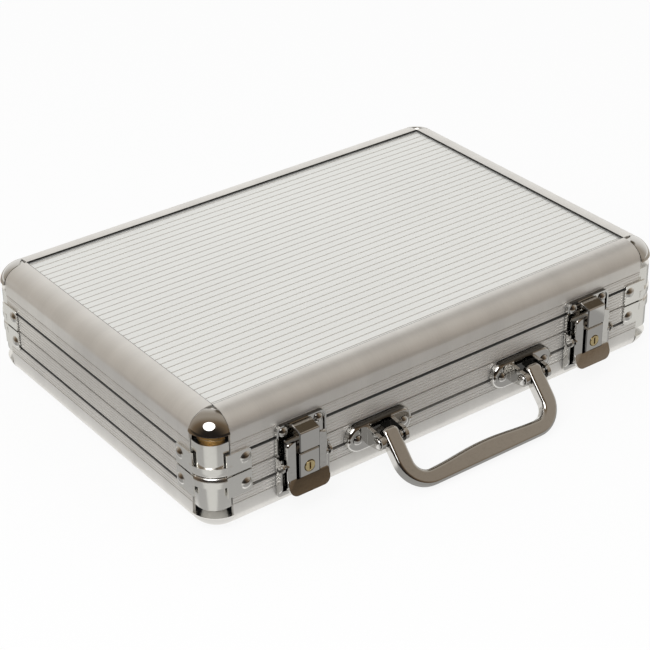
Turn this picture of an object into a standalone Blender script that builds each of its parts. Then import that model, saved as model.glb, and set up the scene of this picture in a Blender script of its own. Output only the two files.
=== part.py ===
"""Poker chip case: two framed aluminium shells with ball corners, key latches and a bail handle.

Lengths are in metres. X runs along the front, the front faces -Y and Z points up.
Every piece is modelled in a small frame of its own and then set in place:
rails and corners from the split plane outwards, front hardware on the front face
with x along the case, y up and z outwards, and the same at the back for the hinges.
"""

import math

import bmesh
import bpy
from mathutils import Matrix, Vector


# Case
case_length = 0.300
case_depth = 0.207
case_height = 0.066
split_gap = 0.0003
seat_gap = 0.0003
overrun = 0.004

# Rail section
rail_inset = 0.0142
rail_wall = 0.0016
lip_flat = 0.0014
lip_thickness = 0.0009
shoulder_rise = 0.0094
slot_depth = 0.0032
slot_clearance = 0.00015
jaw_thickness = 0.0009
groove_start = 0.0096
groove_width = 0.0015
groove_depth = 0.0014
groove_backing = 0.0016
line_start = 0.0172
line_width = 0.0006
line_depth = 0.0004
rib_pitch = 0.0016
rib_width = 0.0005
rib_depth = 0.00025
tongue_rise = 0.0024
tongue_thickness = 0.0012
tongue_root = 0.0050

# Panels and backing boards
panel_thickness = 0.0010
ridge_pitch = 0.00497
valley_width = 0.0007
valley_depth = 0.0004
board_thickness = 0.0023

# Corner fittings
corner_bore = 0.0074
strap_height = 0.0057
strap_stand = 0.0013
strap_taper = 0.0013
strap_taper_rise = 0.0030
barrel_round = 0.0097
barrel_sink = 0.0008
barrel_top = 0.0188
neck_inset = 0.0039
neck_lean = 0.0017
neck_top = 0.0234
ball_stand = 0.0009
tip_width = 0.0068
tip_drop = 0.0010
ear_stand = 0.0011
ear_reach = 0.0252
ear_height = 0.0124
ear_thickness = 0.0008
ear_lap = 0.0029
ear_foot = 0.0005
ear_round = 0.0022
corner_rivet_radius = 0.0032
corner_rivet_reach = 0.0219
corner_rivet_height = 0.0075

# Rivets
rivet_radius = 0.0027
rivet_rise = 0.0014
shank_radius = 0.0014
shank_clearance = 0.0002

# Latches
latch_end_distance = 0.0545
latch_width = 0.0300
plate_thickness = 0.0010
catch_height = 0.0170
catch_round = 0.0040
rim_width = 0.0011
rim_stand = 0.0008
catch_rivet_offset = 0.0106
catch_rivet_drop = 0.0044
hook_width = 0.0120
hook_wall = 0.0012
hook_face = 0.0090
hook_root_drop = 0.0014
hook_slope = 0.0022
hook_clearance = 0.0026
hook_lip = 0.0017
base_plate_drop = 0.0245
base_plate_round = 0.0020
flange_thickness = 0.0012
flange_depth = 0.0044
flange_end = 0.0030
lever_width = 0.0246
lever_thickness = 0.0014
lever_face = 0.0074
lever_top = 0.0085
lever_bottom = 0.0218
lever_round = 0.0045
lever_shoulder = 0.0022
lever_edge = 0.0011
lever_cheek = 0.0010
cheek_depth = 0.0032
cheek_start = 0.0010
window_width = 0.0144
tab_height = 0.0082
tab_bend_drop = 0.0128
tab_lean = 0.32
pivot_drop = 0.0050
pivot_stand = 0.0046
trunnion_radius = 0.0011
trunnion_clearance = 0.0001
trunnion_boss = 0.0026
crossbar_height = 0.0018
crossbar_depth = 0.0010
crossbar_rise = 0.0060
lock_width = 0.0122
lock_face = 0.0084
lock_rise = 0.0016
lock_height = 0.0140
lock_edge = 0.0005
key_radius = 0.0029
key_clearance = 0.00015
key_drop = 0.0088
key_depth = 0.0050
key_stand = 0.0003
keyway_width = 0.0009
keyway_length = 0.0040
keyway_depth = 0.0020

# Handle and brackets
bracket_latch_gap = 0.0120
bracket_width = 0.0410
bracket_height = 0.0160
bracket_level = 0.0245
bracket_thickness = 0.0038
bracket_edge = 0.0020
bracket_rivet_offset = 0.0146
ear_gap = 0.0128
bracket_ear = 0.0022
ear_tip_radius = 0.0040
ear_root_height = 0.0108
handle_pivot_stand = 0.0126
handle_pin_radius = 0.0015
pin_clearance = 0.0002
pin_head_radius = 0.0030
pin_head_rise = 0.0011
knuckle_radius = 0.0034
knuckle_boss = 0.0026
arm_width = 0.0096
arm_nose = 0.0012
handle_reach = 0.0306
handle_thickness = 0.0070
handle_edge = 0.0020
bend_radius = 0.0180
inner_bend_radius = 0.0070
grip_width = 0.0088
grip_swell = 0.0020
floor_clearance = 0.0003

# Back hinges
hinge_end_distance = 0.0650
hinge_width = 0.0300
leaf_height = 0.0130
leaf_thickness = 0.0012
leaf_round = 0.0025
hinge_knuckle_radius = 0.0026
hinge_pin_radius = 0.0012
hinge_pin_head = 0.0020
hinge_pin_head_rise = 0.0007
hinge_bore_clearance = 0.0001

# Lid lining
liner_inset = 0.0042
liner_wall = 0.0022
liner_round = 0.0200
liner_edge = 0.0020
liner_start = 0.0008
pad_clearance = 0.0006
pad_thickness = 0.0090
pad_crown = 0.0015
pad_edge = 0.0030

# Chip tray
tray_inset = 0.0042
tray_top_drop = 0.0014
tray_round = 0.0200
tray_floor = 0.0016
chip_radius = 0.0195
chip_thickness = 0.0034
chip_clearance = 0.0007
chips_per_row = 50
chip_rows = 4
row_wall = 0.0022
row_margin = 0.0060
well_gap = 0.0085
card_width = 0.0655
card_length = 0.0905
card_floor = 0.0050
card_gap = 0.0060
thumb_radius = 0.0110
dice_width = 0.0200
dice_length = 0.0840
dice_floor = 0.0080

# Worked out from the sizes above
half_height = case_height / 2
split_level = half_height
half_length = case_length / 2
half_depth = case_depth / 2
edge_gap = split_gap / 2
shoulder_run = rail_inset - lip_flat
shoulder_start = half_height - shoulder_rise
slot_top = half_height - lip_thickness
slot_bottom = slot_top - panel_thickness - 2 * slot_clearance
slot_inset = rail_inset - slot_depth
jaw_under = slot_bottom - jaw_thickness
corner_reach = rail_inset - seat_gap
board_top = jaw_under - seat_gap
board_under = board_top - board_thickness
tongue_outer = rail_wall + seat_gap
tongue_inner = tongue_outer + tongue_thickness
latch_offset = half_length - latch_end_distance
bracket_offset = latch_offset - latch_width / 2 - bracket_latch_gap - bracket_width / 2
hinge_offset = half_length - hinge_end_distance

X = Vector((1, 0, 0))
Y = Vector((0, 1, 0))
Z = Vector((0, 0, 1))

ROUND_STEPS = 12
CORNER_STEPS = 5
BALL_STEPS = 4


# Scene, collections and materials

for old in list(bpy.data.objects):
    bpy.data.objects.remove(old)


def collection(name):
    """Return a new collection linked to the scene."""
    made = bpy.data.collections.new(name)
    bpy.context.scene.collection.children.link(made)
    return made


case_parts = collection("poker_chip_case")
cutters = collection("cutters")


def material(name, color, roughness, metallic):
    """Return a Principled material."""
    made = bpy.data.materials.new(name)
    made.use_nodes = True
    shader = made.node_tree.nodes["Principled BSDF"]
    shader.inputs["Base Color"].default_value = (*color, 1)
    shader.inputs["Roughness"].default_value = roughness
    shader.inputs["Metallic"].default_value = metallic
    return made


anodised = material("anodised_aluminium", (0.72, 0.71, 0.68), 0.35, 1)
ribbed_sheet = material("ribbed_aluminium_sheet", (0.84, 0.84, 0.82), 0.45, 1)
chrome = material("chrome_plate", (0.70, 0.68, 0.65), 0.10, 1)
brass = material("brass", (0.78, 0.60, 0.28), 0.25, 1)
hardboard = material("hardboard", (0.10, 0.09, 0.08), 0.85, 0)
lining = material("black_lining", (0.03, 0.03, 0.03), 0.90, 0)
foam = material("black_foam", (0.02, 0.02, 0.022), 0.95, 0)


# Mesh helpers

def evaluated_mesh(obj):
    """Return a new mesh of the object with its modifiers applied."""
    bpy.context.view_layer.update()
    graph = bpy.context.evaluated_depsgraph_get()
    return bpy.data.meshes.new_from_object(obj.evaluated_get(graph))


def work_object(name, data):
    """Link new data as an object while it is being shaped."""
    obj = bpy.data.objects.new(name, data)
    cutters.objects.link(obj)
    return obj


def work_mesh(name, bm):
    """Turn a bmesh into an object while it is being shaped."""
    bmesh.ops.recalc_face_normals(bm, faces=bm.faces)
    mesh = bpy.data.meshes.new(name)
    bm.to_mesh(mesh)
    bm.free()
    return work_object(name, mesh)


def welded(obj):
    """Replace an object by its evaluated mesh with doubles merged."""
    bm = bmesh.new()
    bm.from_mesh(evaluated_mesh(obj))
    bmesh.ops.remove_doubles(bm, verts=bm.verts, dist=split_gap / 30)
    name = obj.name
    bpy.data.objects.remove(obj)
    return work_mesh(name, bm)


def outline_solid(outline, thickness, holes=()):
    """Fill a closed outline in XY, with round or other holes, and thicken it about Z = 0."""
    curve = bpy.data.curves.new("outline", "CURVE")
    curve.dimensions = "2D"
    curve.fill_mode = "BOTH"
    curve.extrude = thickness / 2
    for loop in (outline, *holes):
        spline = curve.splines.new("POLY")
        spline.points.add(len(loop) - 1)
        for point, (x, y) in zip(spline.points, loop):
            point.co = (x, y, 0, 1)
        spline.use_cyclic_u = True
    return welded(work_object("outline", curve))


def box_solid(low, high):
    """A box between two corners."""
    bm = bmesh.new()
    bmesh.ops.create_cube(bm, size=1)
    low, high = Vector(low), Vector(high)
    bmesh.ops.scale(bm, verts=bm.verts, vec=high - low)
    bmesh.ops.translate(bm, verts=bm.verts, vec=(low + high) / 2)
    return work_mesh("box", bm)


def rod_solid(radius, start, end, steps=ROUND_STEPS):
    """A round rod between two points."""
    bm = bmesh.new()
    start, end = Vector(start), Vector(end)
    span = end - start
    bmesh.ops.create_cone(bm, cap_ends=True, segments=steps, radius1=radius, radius2=radius, depth=span.length)
    turn = span.to_track_quat("Z", "Y").to_matrix().to_4x4()
    bmesh.ops.transform(bm, verts=bm.verts, matrix=Matrix.Translation((start + end) / 2) @ turn)
    return work_mesh("rod", bm)


def turned_solid(profile, steps=ROUND_STEPS):
    """Turn a profile of (radius, height), read from top to bottom, about Z."""
    mesh = bpy.data.meshes.new("turned")
    mesh.from_pydata([(r, 0, z) for r, z in profile], [(i, i + 1) for i in range(len(profile) - 1)], [])
    obj = work_object("turned", mesh)
    screw = obj.modifiers.new("Screw", "SCREW")
    screw.steps = steps
    screw.render_steps = steps
    screw.use_merge_vertices = True
    screw.merge_threshold = split_gap / 30
    return welded(obj)


def moved(obj, matrix):
    """Carry a shape that is still being worked on to another place."""
    obj.data.transform(matrix)
    return obj


def shifted(obj, x, y, z):
    """Slide a shape that is still being worked on."""
    return moved(obj, Matrix.Translation((x, y, z)))


def combined(target, others, operation):
    """Join or cut a shape with others, one after another."""
    for other in others:
        boolean = target.modifiers.new("Boolean", "BOOLEAN")
        boolean.operation = operation
        boolean.object = other
        boolean.solver = "EXACT"
        mesh = evaluated_mesh(target)
        target.modifiers.clear()
        target.data = mesh
        bpy.data.objects.remove(other)
    return target


def joined(target, *others):
    """Join shapes into one solid."""
    return combined(target, others, "UNION")


def cut(target, *others):
    """Cut shapes out of a solid."""
    return combined(target, others, "DIFFERENCE")


def arc(centre, radius, start, end, steps):
    """Points along an arc in a plane, angles in degrees."""
    angles = [math.radians(start + (end - start) * i / steps) for i in range(steps + 1)]
    return [(centre[0] + radius * math.cos(a), centre[1] + radius * math.sin(a)) for a in angles]


def circle(centre, radius, steps=ROUND_STEPS):
    """A closed ring of points."""
    return arc(centre, radius, 0, 360, steps)[:-1]


def around(radius, steps=ROUND_STEPS):
    """The corner radius of a many-sided ring whose flats clear a round of this radius."""
    return radius / math.cos(math.pi / steps)


def rounded_rectangle(low, high, radii, steps=CORNER_STEPS):
    """Outline of a rectangle with its own radius at lower left, lower right, upper right, upper left."""
    (x0, y0), (x1, y1) = low, high
    a, b, c, d = radii
    points = []
    for (x, y), radius, start in (((x0 + a, y0 + a), a, 180), ((x1 - b, y0 + b), b, 270),
                                  ((x1 - c, y1 - c), c, 0), ((x0 + d, y1 - d), d, 90)):
        points += arc((x, y), radius, start, start + 90, steps) if radius else [(x, y)]
    return points


def edge_rounded(obj, width, steps, keep):
    """Round the edges whose two ends both pass a test."""
    bm = bmesh.new()
    bm.from_mesh(obj.data)
    bmesh.ops.dissolve_limit(bm, angle_limit=math.radians(1), verts=bm.verts, edges=bm.edges)
    edges = [e for e in bm.edges if keep(e.verts[0].co, e.verts[1].co)]
    bmesh.ops.bevel(bm, geom=edges, offset=width, offset_type="OFFSET", segments=steps, profile=0.5,
                    affect="EDGES", clamp_overlap=True)
    bm.to_mesh(obj.data)
    bm.free()
    return obj


def facing_out(obj):
    """Turn the faces of a shape outwards after it has been mirrored."""
    bm = bmesh.new()
    bm.from_mesh(obj.data)
    bmesh.ops.recalc_face_normals(bm, faces=bm.faces)
    bm.to_mesh(obj.data)
    bm.free()
    return obj


def near(a, b):
    """Whether two lengths are the same place."""
    return abs(a - b) < split_gap / 10


# Carriers: one empty for each group that moves, on its joint's axis

def carrier(name, place, parent=None):
    """An empty that carries the pieces of one moving group."""
    empty = bpy.data.objects.new(name, None)
    case_parts.objects.link(empty)
    empty.parent = parent
    empty.location = Vector(place) - (parent.matrix_world.translation if parent else Vector())
    bpy.context.view_layer.update()
    return empty


def placed(name, shape, paint, parent, origin, x_axis=X, y_axis=Y):
    """Finish a shape as a named piece with its origin and axes in the case."""
    piece = bpy.data.objects.new(name, shape.data)
    case_parts.objects.link(piece)
    z_axis = x_axis.cross(y_axis)
    turn = Matrix((x_axis, y_axis, z_axis)).transposed().to_4x4()
    piece.parent = parent
    piece.matrix_world = Matrix.Translation(parent_shift(origin)) @ turn
    if not shape.data.materials:
        shape.data.materials.append(paint)
        shape.data.shade_smooth()
        shape.data.set_sharp_from_angle(angle=math.radians(30))
    return piece


def parent_shift(origin):
    """A place in the case, moved so that the footprint, handle included, is centred."""
    return Vector(origin) + Y * footprint_shift


def in_case(*place):
    """Shorthand for a place given in the case's own coordinates."""
    return parent_shift(place)


# Handle at rest: it lies on the surface that the case stands on

handle_level = bracket_level
lever_arm = handle_reach - handle_edge
lever_rise = handle_thickness / 2 - handle_edge
handle_drop = handle_level - handle_edge - floor_clearance
handle_span = math.hypot(lever_arm, lever_rise)
handle_angle = math.atan2(lever_rise, lever_arm) + math.acos(min(1, handle_drop / handle_span))
handle_forward = (lever_arm * math.sin(handle_angle) + lever_rise * math.cos(handle_angle) + handle_edge)
front_reach = half_depth + handle_pivot_stand + handle_forward
hinge_stand = 2 * seat_gap + hinge_knuckle_radius
back_reach = half_depth + hinge_stand + hinge_knuckle_radius
footprint_shift = (front_reach - back_reach) / 2

base = carrier("base", in_case(0, 0, 0))
lid = carrier("lid", in_case(0, half_depth + hinge_stand, split_level), base)
handle_swing = carrier("handle_swing", in_case(0, -half_depth - handle_pivot_stand, handle_level), base)


# Rails

def rail_shoulder(run, rise, steps, top=None):
    """Points of the curved shoulder, from the upright wall towards the lip."""
    end = math.asin(min(1, (top - shoulder_start) / rise)) if top else math.pi / 2
    return [(shoulder_run - run * math.cos(end * i / steps), shoulder_start + rise * math.sin(end * i / steps))
            for i in range(steps + 1)]


def fine_ribs(low, high):
    """Small V cuts at an even pitch between two heights."""
    count = max(1, int((high - low) / rib_pitch))
    pitch = (high - low) / count
    points = []
    for i in range(count):
        middle = low + pitch * (i + 1 / 2)
        points += [(0, middle - rib_width / 2), (rib_depth, middle), (0, middle + rib_width / 2)]
    return points


def square_cut(low, width, depth):
    """A square channel in the outer face."""
    return [(0, low), (depth, low), (depth, low + width), (0, low + width)]


def rail_outline(with_tongue):
    """Section of a rail as (inset from the outer face, height from the split)."""
    groove_end = groove_start + groove_width
    inner = rail_shoulder(shoulder_run - rail_wall, shoulder_rise - rail_wall, CORNER_STEPS, jaw_under)
    backing_inset = groove_depth + groove_backing
    points = [(0, edge_gap)]
    points += fine_ribs(edge_gap, groove_start)
    points += square_cut(groove_start, groove_width, groove_depth)
    points += fine_ribs(groove_end, line_start)
    points += square_cut(line_start, line_width, line_depth)
    points += rail_shoulder(shoulder_run, shoulder_rise, CORNER_STEPS + 2)
    points += [(rail_inset, half_height), (rail_inset, slot_top), (slot_inset, slot_top)]
    points += [(slot_inset, slot_bottom), (rail_inset, slot_bottom), (rail_inset, jaw_under)]
    points += reversed(inner)
    points += [(rail_wall, groove_end + groove_backing), (backing_inset, groove_end + groove_backing)]
    points += [(backing_inset, groove_start - groove_backing), (rail_wall, groove_start - groove_backing)]
    if with_tongue:
        points += [(rail_wall, tongue_root), (tongue_inner, tongue_root), (tongue_inner, -tongue_rise)]
        points += [(tongue_outer, -tongue_rise), (tongue_outer, edge_gap)]
    else:
        points += [(rail_wall, edge_gap)]
    return points


def make_rails(shell, carried_by, up, with_tongue):
    """Four rails of one shell, in its corner to corner gaps."""
    outline = rail_outline(with_tongue)
    long_rail = outline_solid(outline, case_length - 2 * rail_inset)
    short_rail = outline_solid(outline, case_depth - 2 * rail_inset)
    for side, inward, place, shape in (("front", Y, (0, -half_depth, split_level), long_rail),
                                       ("back", -Y, (0, half_depth, split_level), long_rail),
                                       ("left", X, (-half_length, 0, split_level), short_rail),
                                       ("right", -X, (half_length, 0, split_level), short_rail)):
        placed(f"{shell}_rail_{side}", shape, anodised, carried_by, place, inward, up)


make_rails("lid", lid, Z, False)
make_rails("base", base, -Z, True)


# Panels with fine valleys along the case

def panel_shape():
    """A sheet with V valleys on its outer face, notched at the corners for the fittings."""
    reach = half_depth - slot_inset - seat_gap
    visible = half_depth - rail_inset
    valleys = int((visible - valley_width) / ridge_pitch + 1 / 2)
    face = []
    for i in range(-valleys, valleys):
        middle = (i + 1 / 2) * ridge_pitch
        face += [(middle - valley_width / 2, panel_thickness), (middle, panel_thickness - valley_depth),
                 (middle + valley_width / 2, panel_thickness)]
    outline = [(-reach, 0), (-reach, panel_thickness), *face, (reach, panel_thickness), (reach, 0)]
    end = half_length - slot_inset - seat_gap
    sheet = outline_solid(outline, 2 * end)
    notch_x = half_depth - rail_inset - seat_gap
    notch_z = half_length - rail_inset - seat_gap
    for side_x in (-1, 1):
        for side_z in (-1, 1):
            near_corner = (side_x * notch_x, -overrun, side_z * notch_z)
            far_corner = (side_x * (reach + overrun), panel_thickness + overrun, side_z * (end + overrun))
            low = [min(a, b) for a, b in zip(near_corner, far_corner)]
            high = [max(a, b) for a, b in zip(near_corner, far_corner)]
            cut(sheet, box_solid(low, high))
    return sheet


panel_inner = slot_bottom + slot_clearance
panel = panel_shape()
placed("lid_panel", panel, ribbed_sheet, lid, (0, 0, split_level + panel_inner), Y, Z)
placed("base_panel", panel, ribbed_sheet, base, (0, 0, split_level - panel_inner), Y, -Z)


# Backing boards behind the panels

def shoulder_inset_at(height):
    """How far the rail's inner face stands in at a height above the split."""
    rise = shoulder_rise - rail_wall
    run = shoulder_run - rail_wall
    share = min(1, max(0, height - shoulder_start) / rise)
    return shoulder_run - run * math.sqrt(1 - share * share)


def board_shape():
    """A board that lies under the rails' jaws, notched at the corners."""
    inset = shoulder_inset_at(board_top) + seat_gap
    a, b = half_length - inset, half_depth - inset
    c, d = half_length - rail_inset, half_depth - rail_inset
    quarter = [(a, d), (c, d), (c, b)]
    outline = quarter + [(-x, y) for x, y in reversed(quarter)]
    outline += [(-x, -y) for x, y in quarter] + [(x, -y) for x, y in reversed(quarter)]
    return outline_solid(outline, board_thickness)


board = board_shape()
board_middle = (board_top + board_under) / 2
placed("lid_board", board, hardboard, lid, (0, 0, split_level + board_middle))
placed("base_board", board, hardboard, base, (0, 0, split_level - board_middle))


# Corner fittings

def dome(radius, rise, steps=ROUND_STEPS, under=0.0):
    """A low round head, with a stub below its rim so that it joins what it stands on."""
    ball = (radius * radius + rise * rise) / (2 * rise)
    spread = math.asin(radius / ball)
    profile = [(ball * math.sin(spread * i / 3), rise - ball + ball * math.cos(spread * i / 3)) for i in range(4)]
    profile[-1] = (radius, 0)
    return turned_solid(profile + [(radius, -under), (0, -under)], steps)


def corner_ear():
    """The flat ear with its rivet head, along the x side of the corner."""
    root = corner_reach - ear_lap
    outline = rounded_rectangle((root, ear_foot), (ear_reach, ear_height), (0, 0, ear_round, 0))
    ear = outline_solid(outline, ear_thickness)
    moved(ear, Matrix(((1, 0, 0, 0), (0, 0, 1, ear_thickness / 2 - ear_stand), (0, 1, 0, 0), (0, 0, 0, 1))))
    head = dome(corner_rivet_radius, rivet_rise, 8, ear_thickness / 2)
    face_out = Matrix.Translation((corner_rivet_reach, -ear_stand, corner_rivet_height))
    return joined(facing_out(ear), moved(head, face_out @ Matrix.Rotation(math.pi / 2, 4, "X")))


def corner_profile():
    """Section through strap, neck and ball as (distance from the upright axis, height)."""
    strap, neck, ball = corner_reach + strap_stand, corner_reach - neck_inset, corner_reach + ball_stand
    points = [(corner_bore, edge_gap)]
    for i in range(3):
        turn = math.pi / 2 * i / 2
        points.append((strap - strap_taper * (1 - math.sin(turn)), edge_gap + strap_taper_rise * (1 - math.cos(turn))))
    points += [(strap, strap_height), (neck, strap_height), (neck, barrel_top), (neck - neck_lean, neck_top)]
    for i in range(BALL_STEPS + 1):
        turn = math.pi / 2 * i / BALL_STEPS
        points.append((lip_flat + (ball - lip_flat) * math.cos(turn),
                       neck_top + (half_height - neck_top) * math.sin(turn)))
    return points + [(0, half_height), (0, board_under), (corner_bore, board_under)]


def corner_barrel():
    """The block between strap and neck: a tighter rounding whose flats lie behind the rails' faces."""
    end = corner_reach - seat_gap / 2
    middle = barrel_sink + barrel_round
    inner = (corner_bore + corner_reach - neck_inset) / 2
    outline = [(end, barrel_sink), *arc((middle, middle), barrel_round, 270, 180, CORNER_STEPS)]
    outline += [(barrel_sink, end)] + arc((corner_reach, corner_reach), inner, 181, 269, BALL_STEPS)
    low = strap_height - strap_stand
    return shifted(outline_solid(outline, barrel_top - low), 0, 0, (barrel_top + low) / 2)


def corner_shape():
    """One fitting: strap with two ears, barrel, neck and ball, hollow behind."""
    bm = bmesh.new()
    section = [bm.verts.new((corner_reach - r, corner_reach, h)) for r, h in corner_profile()]
    face = bm.faces.new(section)
    bmesh.ops.spin(bm, geom=section + list(face.edges) + [face], cent=(corner_reach, corner_reach, 0),
                   axis=(0, 0, 1), angle=math.pi / 2, steps=CORNER_STEPS + 1, use_duplicate=False)
    bmesh.ops.remove_doubles(bm, verts=bm.verts, dist=split_gap / 30)
    bmesh.ops.dissolve_degenerate(bm, edges=bm.edges, dist=split_gap / 30)
    body = work_mesh("corner", bm)
    swap = Matrix(((0, 1, 0, 0), (1, 0, 0, 0), (0, 0, 1, 0), (0, 0, 0, 1)))
    joined(body, corner_barrel(), corner_ear(), facing_out(moved(corner_ear(), swap)))
    blade = box_solid((-rail_inset, -tip_width / 2, half_height - tip_drop),
                      (rail_inset, rail_inset, half_height + overrun))
    diagonal = Matrix.Translation((corner_reach, corner_reach, 0)) @ Matrix.Rotation(-math.pi / 4, 4, "Z")
    return cut(body, moved(blade, diagonal))


def make_corners(shell, carried_by, directions):
    """Four fittings of one shell, each turned to its own corner."""
    for where, (x_axis, y_axis) in directions.items():
        inward = x_axis + y_axis
        place = (-inward.x * half_length, -inward.y * half_depth, split_level)
        placed(f"{shell}_corner_{where}", corner, chrome, carried_by, place, x_axis, y_axis)


corner = corner_shape()
lid_corners = {"front_left": (X, Y), "front_right": (Y, -X), "back_right": (-X, -Y), "back_left": (-Y, X)}
base_corners = {"front_left": (Y, X), "front_right": (-X, Y), "back_right": (-Y, -X), "back_left": (X, -Y)}
make_corners("lid", lid, lid_corners)
make_corners("base", base, base_corners)


# Rivets that stand as pieces of their own

def rivet_shape(grip):
    """A round head and a shank that passes through a plate of this thickness."""
    head = dome(rivet_radius, rivet_rise, 10)
    shank = rod_solid(shank_radius, (0, 0, rivet_rise / 3), (0, 0, -grip - seat_gap), 10)
    return joined(head, shank)


def side_plate(outline, low, high, across):
    """A plate drawn as (outwards, up) and given a thickness along x."""
    plate = outline_solid(outline, high - low)
    turn = Matrix(((0, 0, 1, (low + high) / 2), (0, 1, 0, 0), (across, 0, 0, 0), (0, 0, 0, 1)))
    return facing_out(moved(plate, turn))


# Latch catch on the lid: a rimmed plate with a hook that reaches down over the lever's bar

plate_back = seat_gap
plate_front = plate_back + plate_thickness
catch_bottom = edge_gap + seat_gap
catch_top = catch_bottom + catch_height


def catch_shape():
    """The rimmed catch plate with its hook and two rivet holes."""
    half = latch_width / 2
    rim_front = plate_front + rim_stand
    outline = rounded_rectangle((-half, catch_bottom), (half, catch_top), (0, 0, catch_round, catch_round))
    catch = shifted(outline_solid(outline, rim_front - plate_back), 0, 0, (plate_back + rim_front) / 2)
    inside = half - rim_width
    pocket = rounded_rectangle((-inside, catch_bottom - overrun), (inside, catch_top - rim_width),
                               (0, 0, catch_round - rim_width, catch_round - rim_width))
    cut(catch, shifted(outline_solid(pocket, overrun), 0, 0, plate_front + overrun / 2))
    for side in (-1, 1):
        middle = (side * catch_rivet_offset, catch_top - catch_rivet_drop)
        hole = rod_solid(around(shank_radius + shank_clearance, 10), (*middle, -overrun), (*middle, overrun), 10)
        cut(catch, hole)
    top = catch_top - hook_root_drop
    hook_bottom = edge_gap + hook_clearance
    inner = hook_face - hook_wall
    root = plate_front - plate_thickness / 2
    hook = [(root, top), (hook_face, top - hook_slope), (hook_face, hook_bottom), (inner - hook_lip, hook_bottom)]
    hook += [(inner - hook_lip, hook_bottom + hook_wall), (inner, hook_bottom + hook_wall)]
    hook += [(inner, top - hook_slope - hook_wall), (root, top - hook_wall)]
    return joined(catch, side_plate(hook, -hook_width / 2, hook_width / 2, 1))


# Latch base: a plate with two flanges that carry the lever's trunnions

base_plate_top = -edge_gap - seat_gap
base_plate_bottom = -base_plate_drop


def latch_base_shape():
    """The base plate with its flanges and trunnion holes."""
    half = latch_width / 2
    outline = rounded_rectangle((-half, base_plate_bottom), (half, base_plate_top),
                                (base_plate_round, base_plate_round, 0, 0))
    plate = shifted(outline_solid(outline, plate_thickness), 0, 0, (plate_back + plate_front) / 2)
    low = base_plate_bottom + flange_end
    high = base_plate_top - seat_gap
    root = plate_back + plate_thickness / 3
    boss = arc((pivot_stand, -pivot_drop), trunnion_boss, -90, 90, 8)
    flange = [(root, low), (flange_depth / 2, low), (flange_depth, low + flange_end)]
    flange += [(flange_depth, -pivot_drop - trunnion_boss), *boss, (flange_depth, high), (root, high)]
    hole = circle((pivot_stand, -pivot_drop), around(trunnion_radius + trunnion_clearance))
    for low_x, high_x in ((-half, -half + flange_thickness), (half - flange_thickness, half)):
        wall = outline_solid(flange, flange_thickness, (hole,))
        turn = Matrix(((0, 0, 1, (low_x + high_x) / 2), (0, 1, 0, 0), (-1, 0, 0, 0), (0, 0, 0, 1)))
        flip = Matrix(((1, 0, 0, 0), (0, 1, 0, 0), (0, 0, -1, 0), (0, 0, 0, 1)))
        joined(plate, facing_out(moved(wall, flip @ turn)))
    return plate


# Latch lever: a U-shaped front with cheeks, trunnions and the bar that the hook catches on

def lever_shape():
    """The rocking lever, with its pivot axis at the origin."""
    half = lever_width / 2
    top, bottom = lever_top, -lever_bottom
    window = window_width / 2
    sill = bottom + tab_height
    outline = arc((-half + lever_round, bottom + lever_round), lever_round, 180, 270, CORNER_STEPS)
    outline += arc((half - lever_round, bottom + lever_round), lever_round, 270, 360, CORNER_STEPS)
    outline += [(half, top - lever_shoulder), (half - lever_shoulder, top), (window, top), (window, sill)]
    outline += [(-window, sill), (-window, top), (-half + lever_shoulder, top), (-half, top - lever_shoulder)]
    back = lever_face - lever_thickness
    lever = shifted(outline_solid(outline, lever_thickness), 0, 0, lever_face - lever_thickness / 2)
    edge_rounded(lever, lever_edge, 1, lambda a, b: near(a.z, lever_face) and near(b.z, lever_face)
                 and abs(a.x) + abs(b.x) > 2 * window + seat_gap)
    lap = lever_thickness / 2
    cheek_back = lever_face - lever_thickness - cheek_depth
    bar_front = back + lap
    bar_middle = crossbar_rise
    bar = box_solid((-half + lever_cheek, bar_middle - crossbar_height / 2, back - crossbar_depth),
                    (half - lever_cheek, bar_middle + crossbar_height / 2, bar_front))
    joined(lever, bar)
    for side in (-1, 1):
        inner, outer = sorted((side * (half - lever_cheek), side * half))
        low = bottom + lever_round
        cheek = box_solid((inner, low, cheek_back), (outer, -cheek_start, back + lap))
        boss = rod_solid(trunnion_boss - trunnion_clearance, (inner, -pivot_drop, pivot_stand),
                         (outer, -pivot_drop, pivot_stand))
        flange_outer = side * (latch_width / 2)
        trunnion = rod_solid(trunnion_radius, ((inner + outer) / 2, -pivot_drop, pivot_stand),
                             (flange_outer, -pivot_drop, pivot_stand))
        joined(lever, cheek, boss, trunnion)
    return shifted(tab_bent(lever), 0, pivot_drop, -pivot_stand)


def tab_bent(lever):
    """Lean the part of the lever below the bend outwards, as a finger grip."""
    bm = bmesh.new()
    bm.from_mesh(lever.data)
    bmesh.ops.bisect_plane(bm, geom=bm.verts[:] + bm.edges[:] + bm.faces[:], plane_co=-Y * tab_bend_drop, plane_no=Y)
    for v in bm.verts:
        v.co.z += max(0, -tab_bend_drop - v.co.y) * tab_lean
    bm.to_mesh(lever.data)
    bm.free()
    return lever


# Lock box and key plug

lock_top = lock_rise
lock_bottom = lock_top - lock_height
lock_back = plate_front + seat_gap
key_level = lock_top - key_drop
key_back = lock_face - key_depth


def lock_box_shape():
    """The lock's housing, with the round hole that the key plug turns in."""
    half = lock_width / 2
    block = box_solid((-half, lock_bottom, lock_back), (half, lock_top, lock_face))
    edge_rounded(block, lock_edge, 2, lambda a, b: near(a.z, lock_face) and near(b.z, lock_face))
    radius = around(key_radius + key_clearance)
    hole = rod_solid(radius, (0, key_level, key_back), (0, key_level, lock_face + overrun))
    return cut(block, hole)


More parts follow.
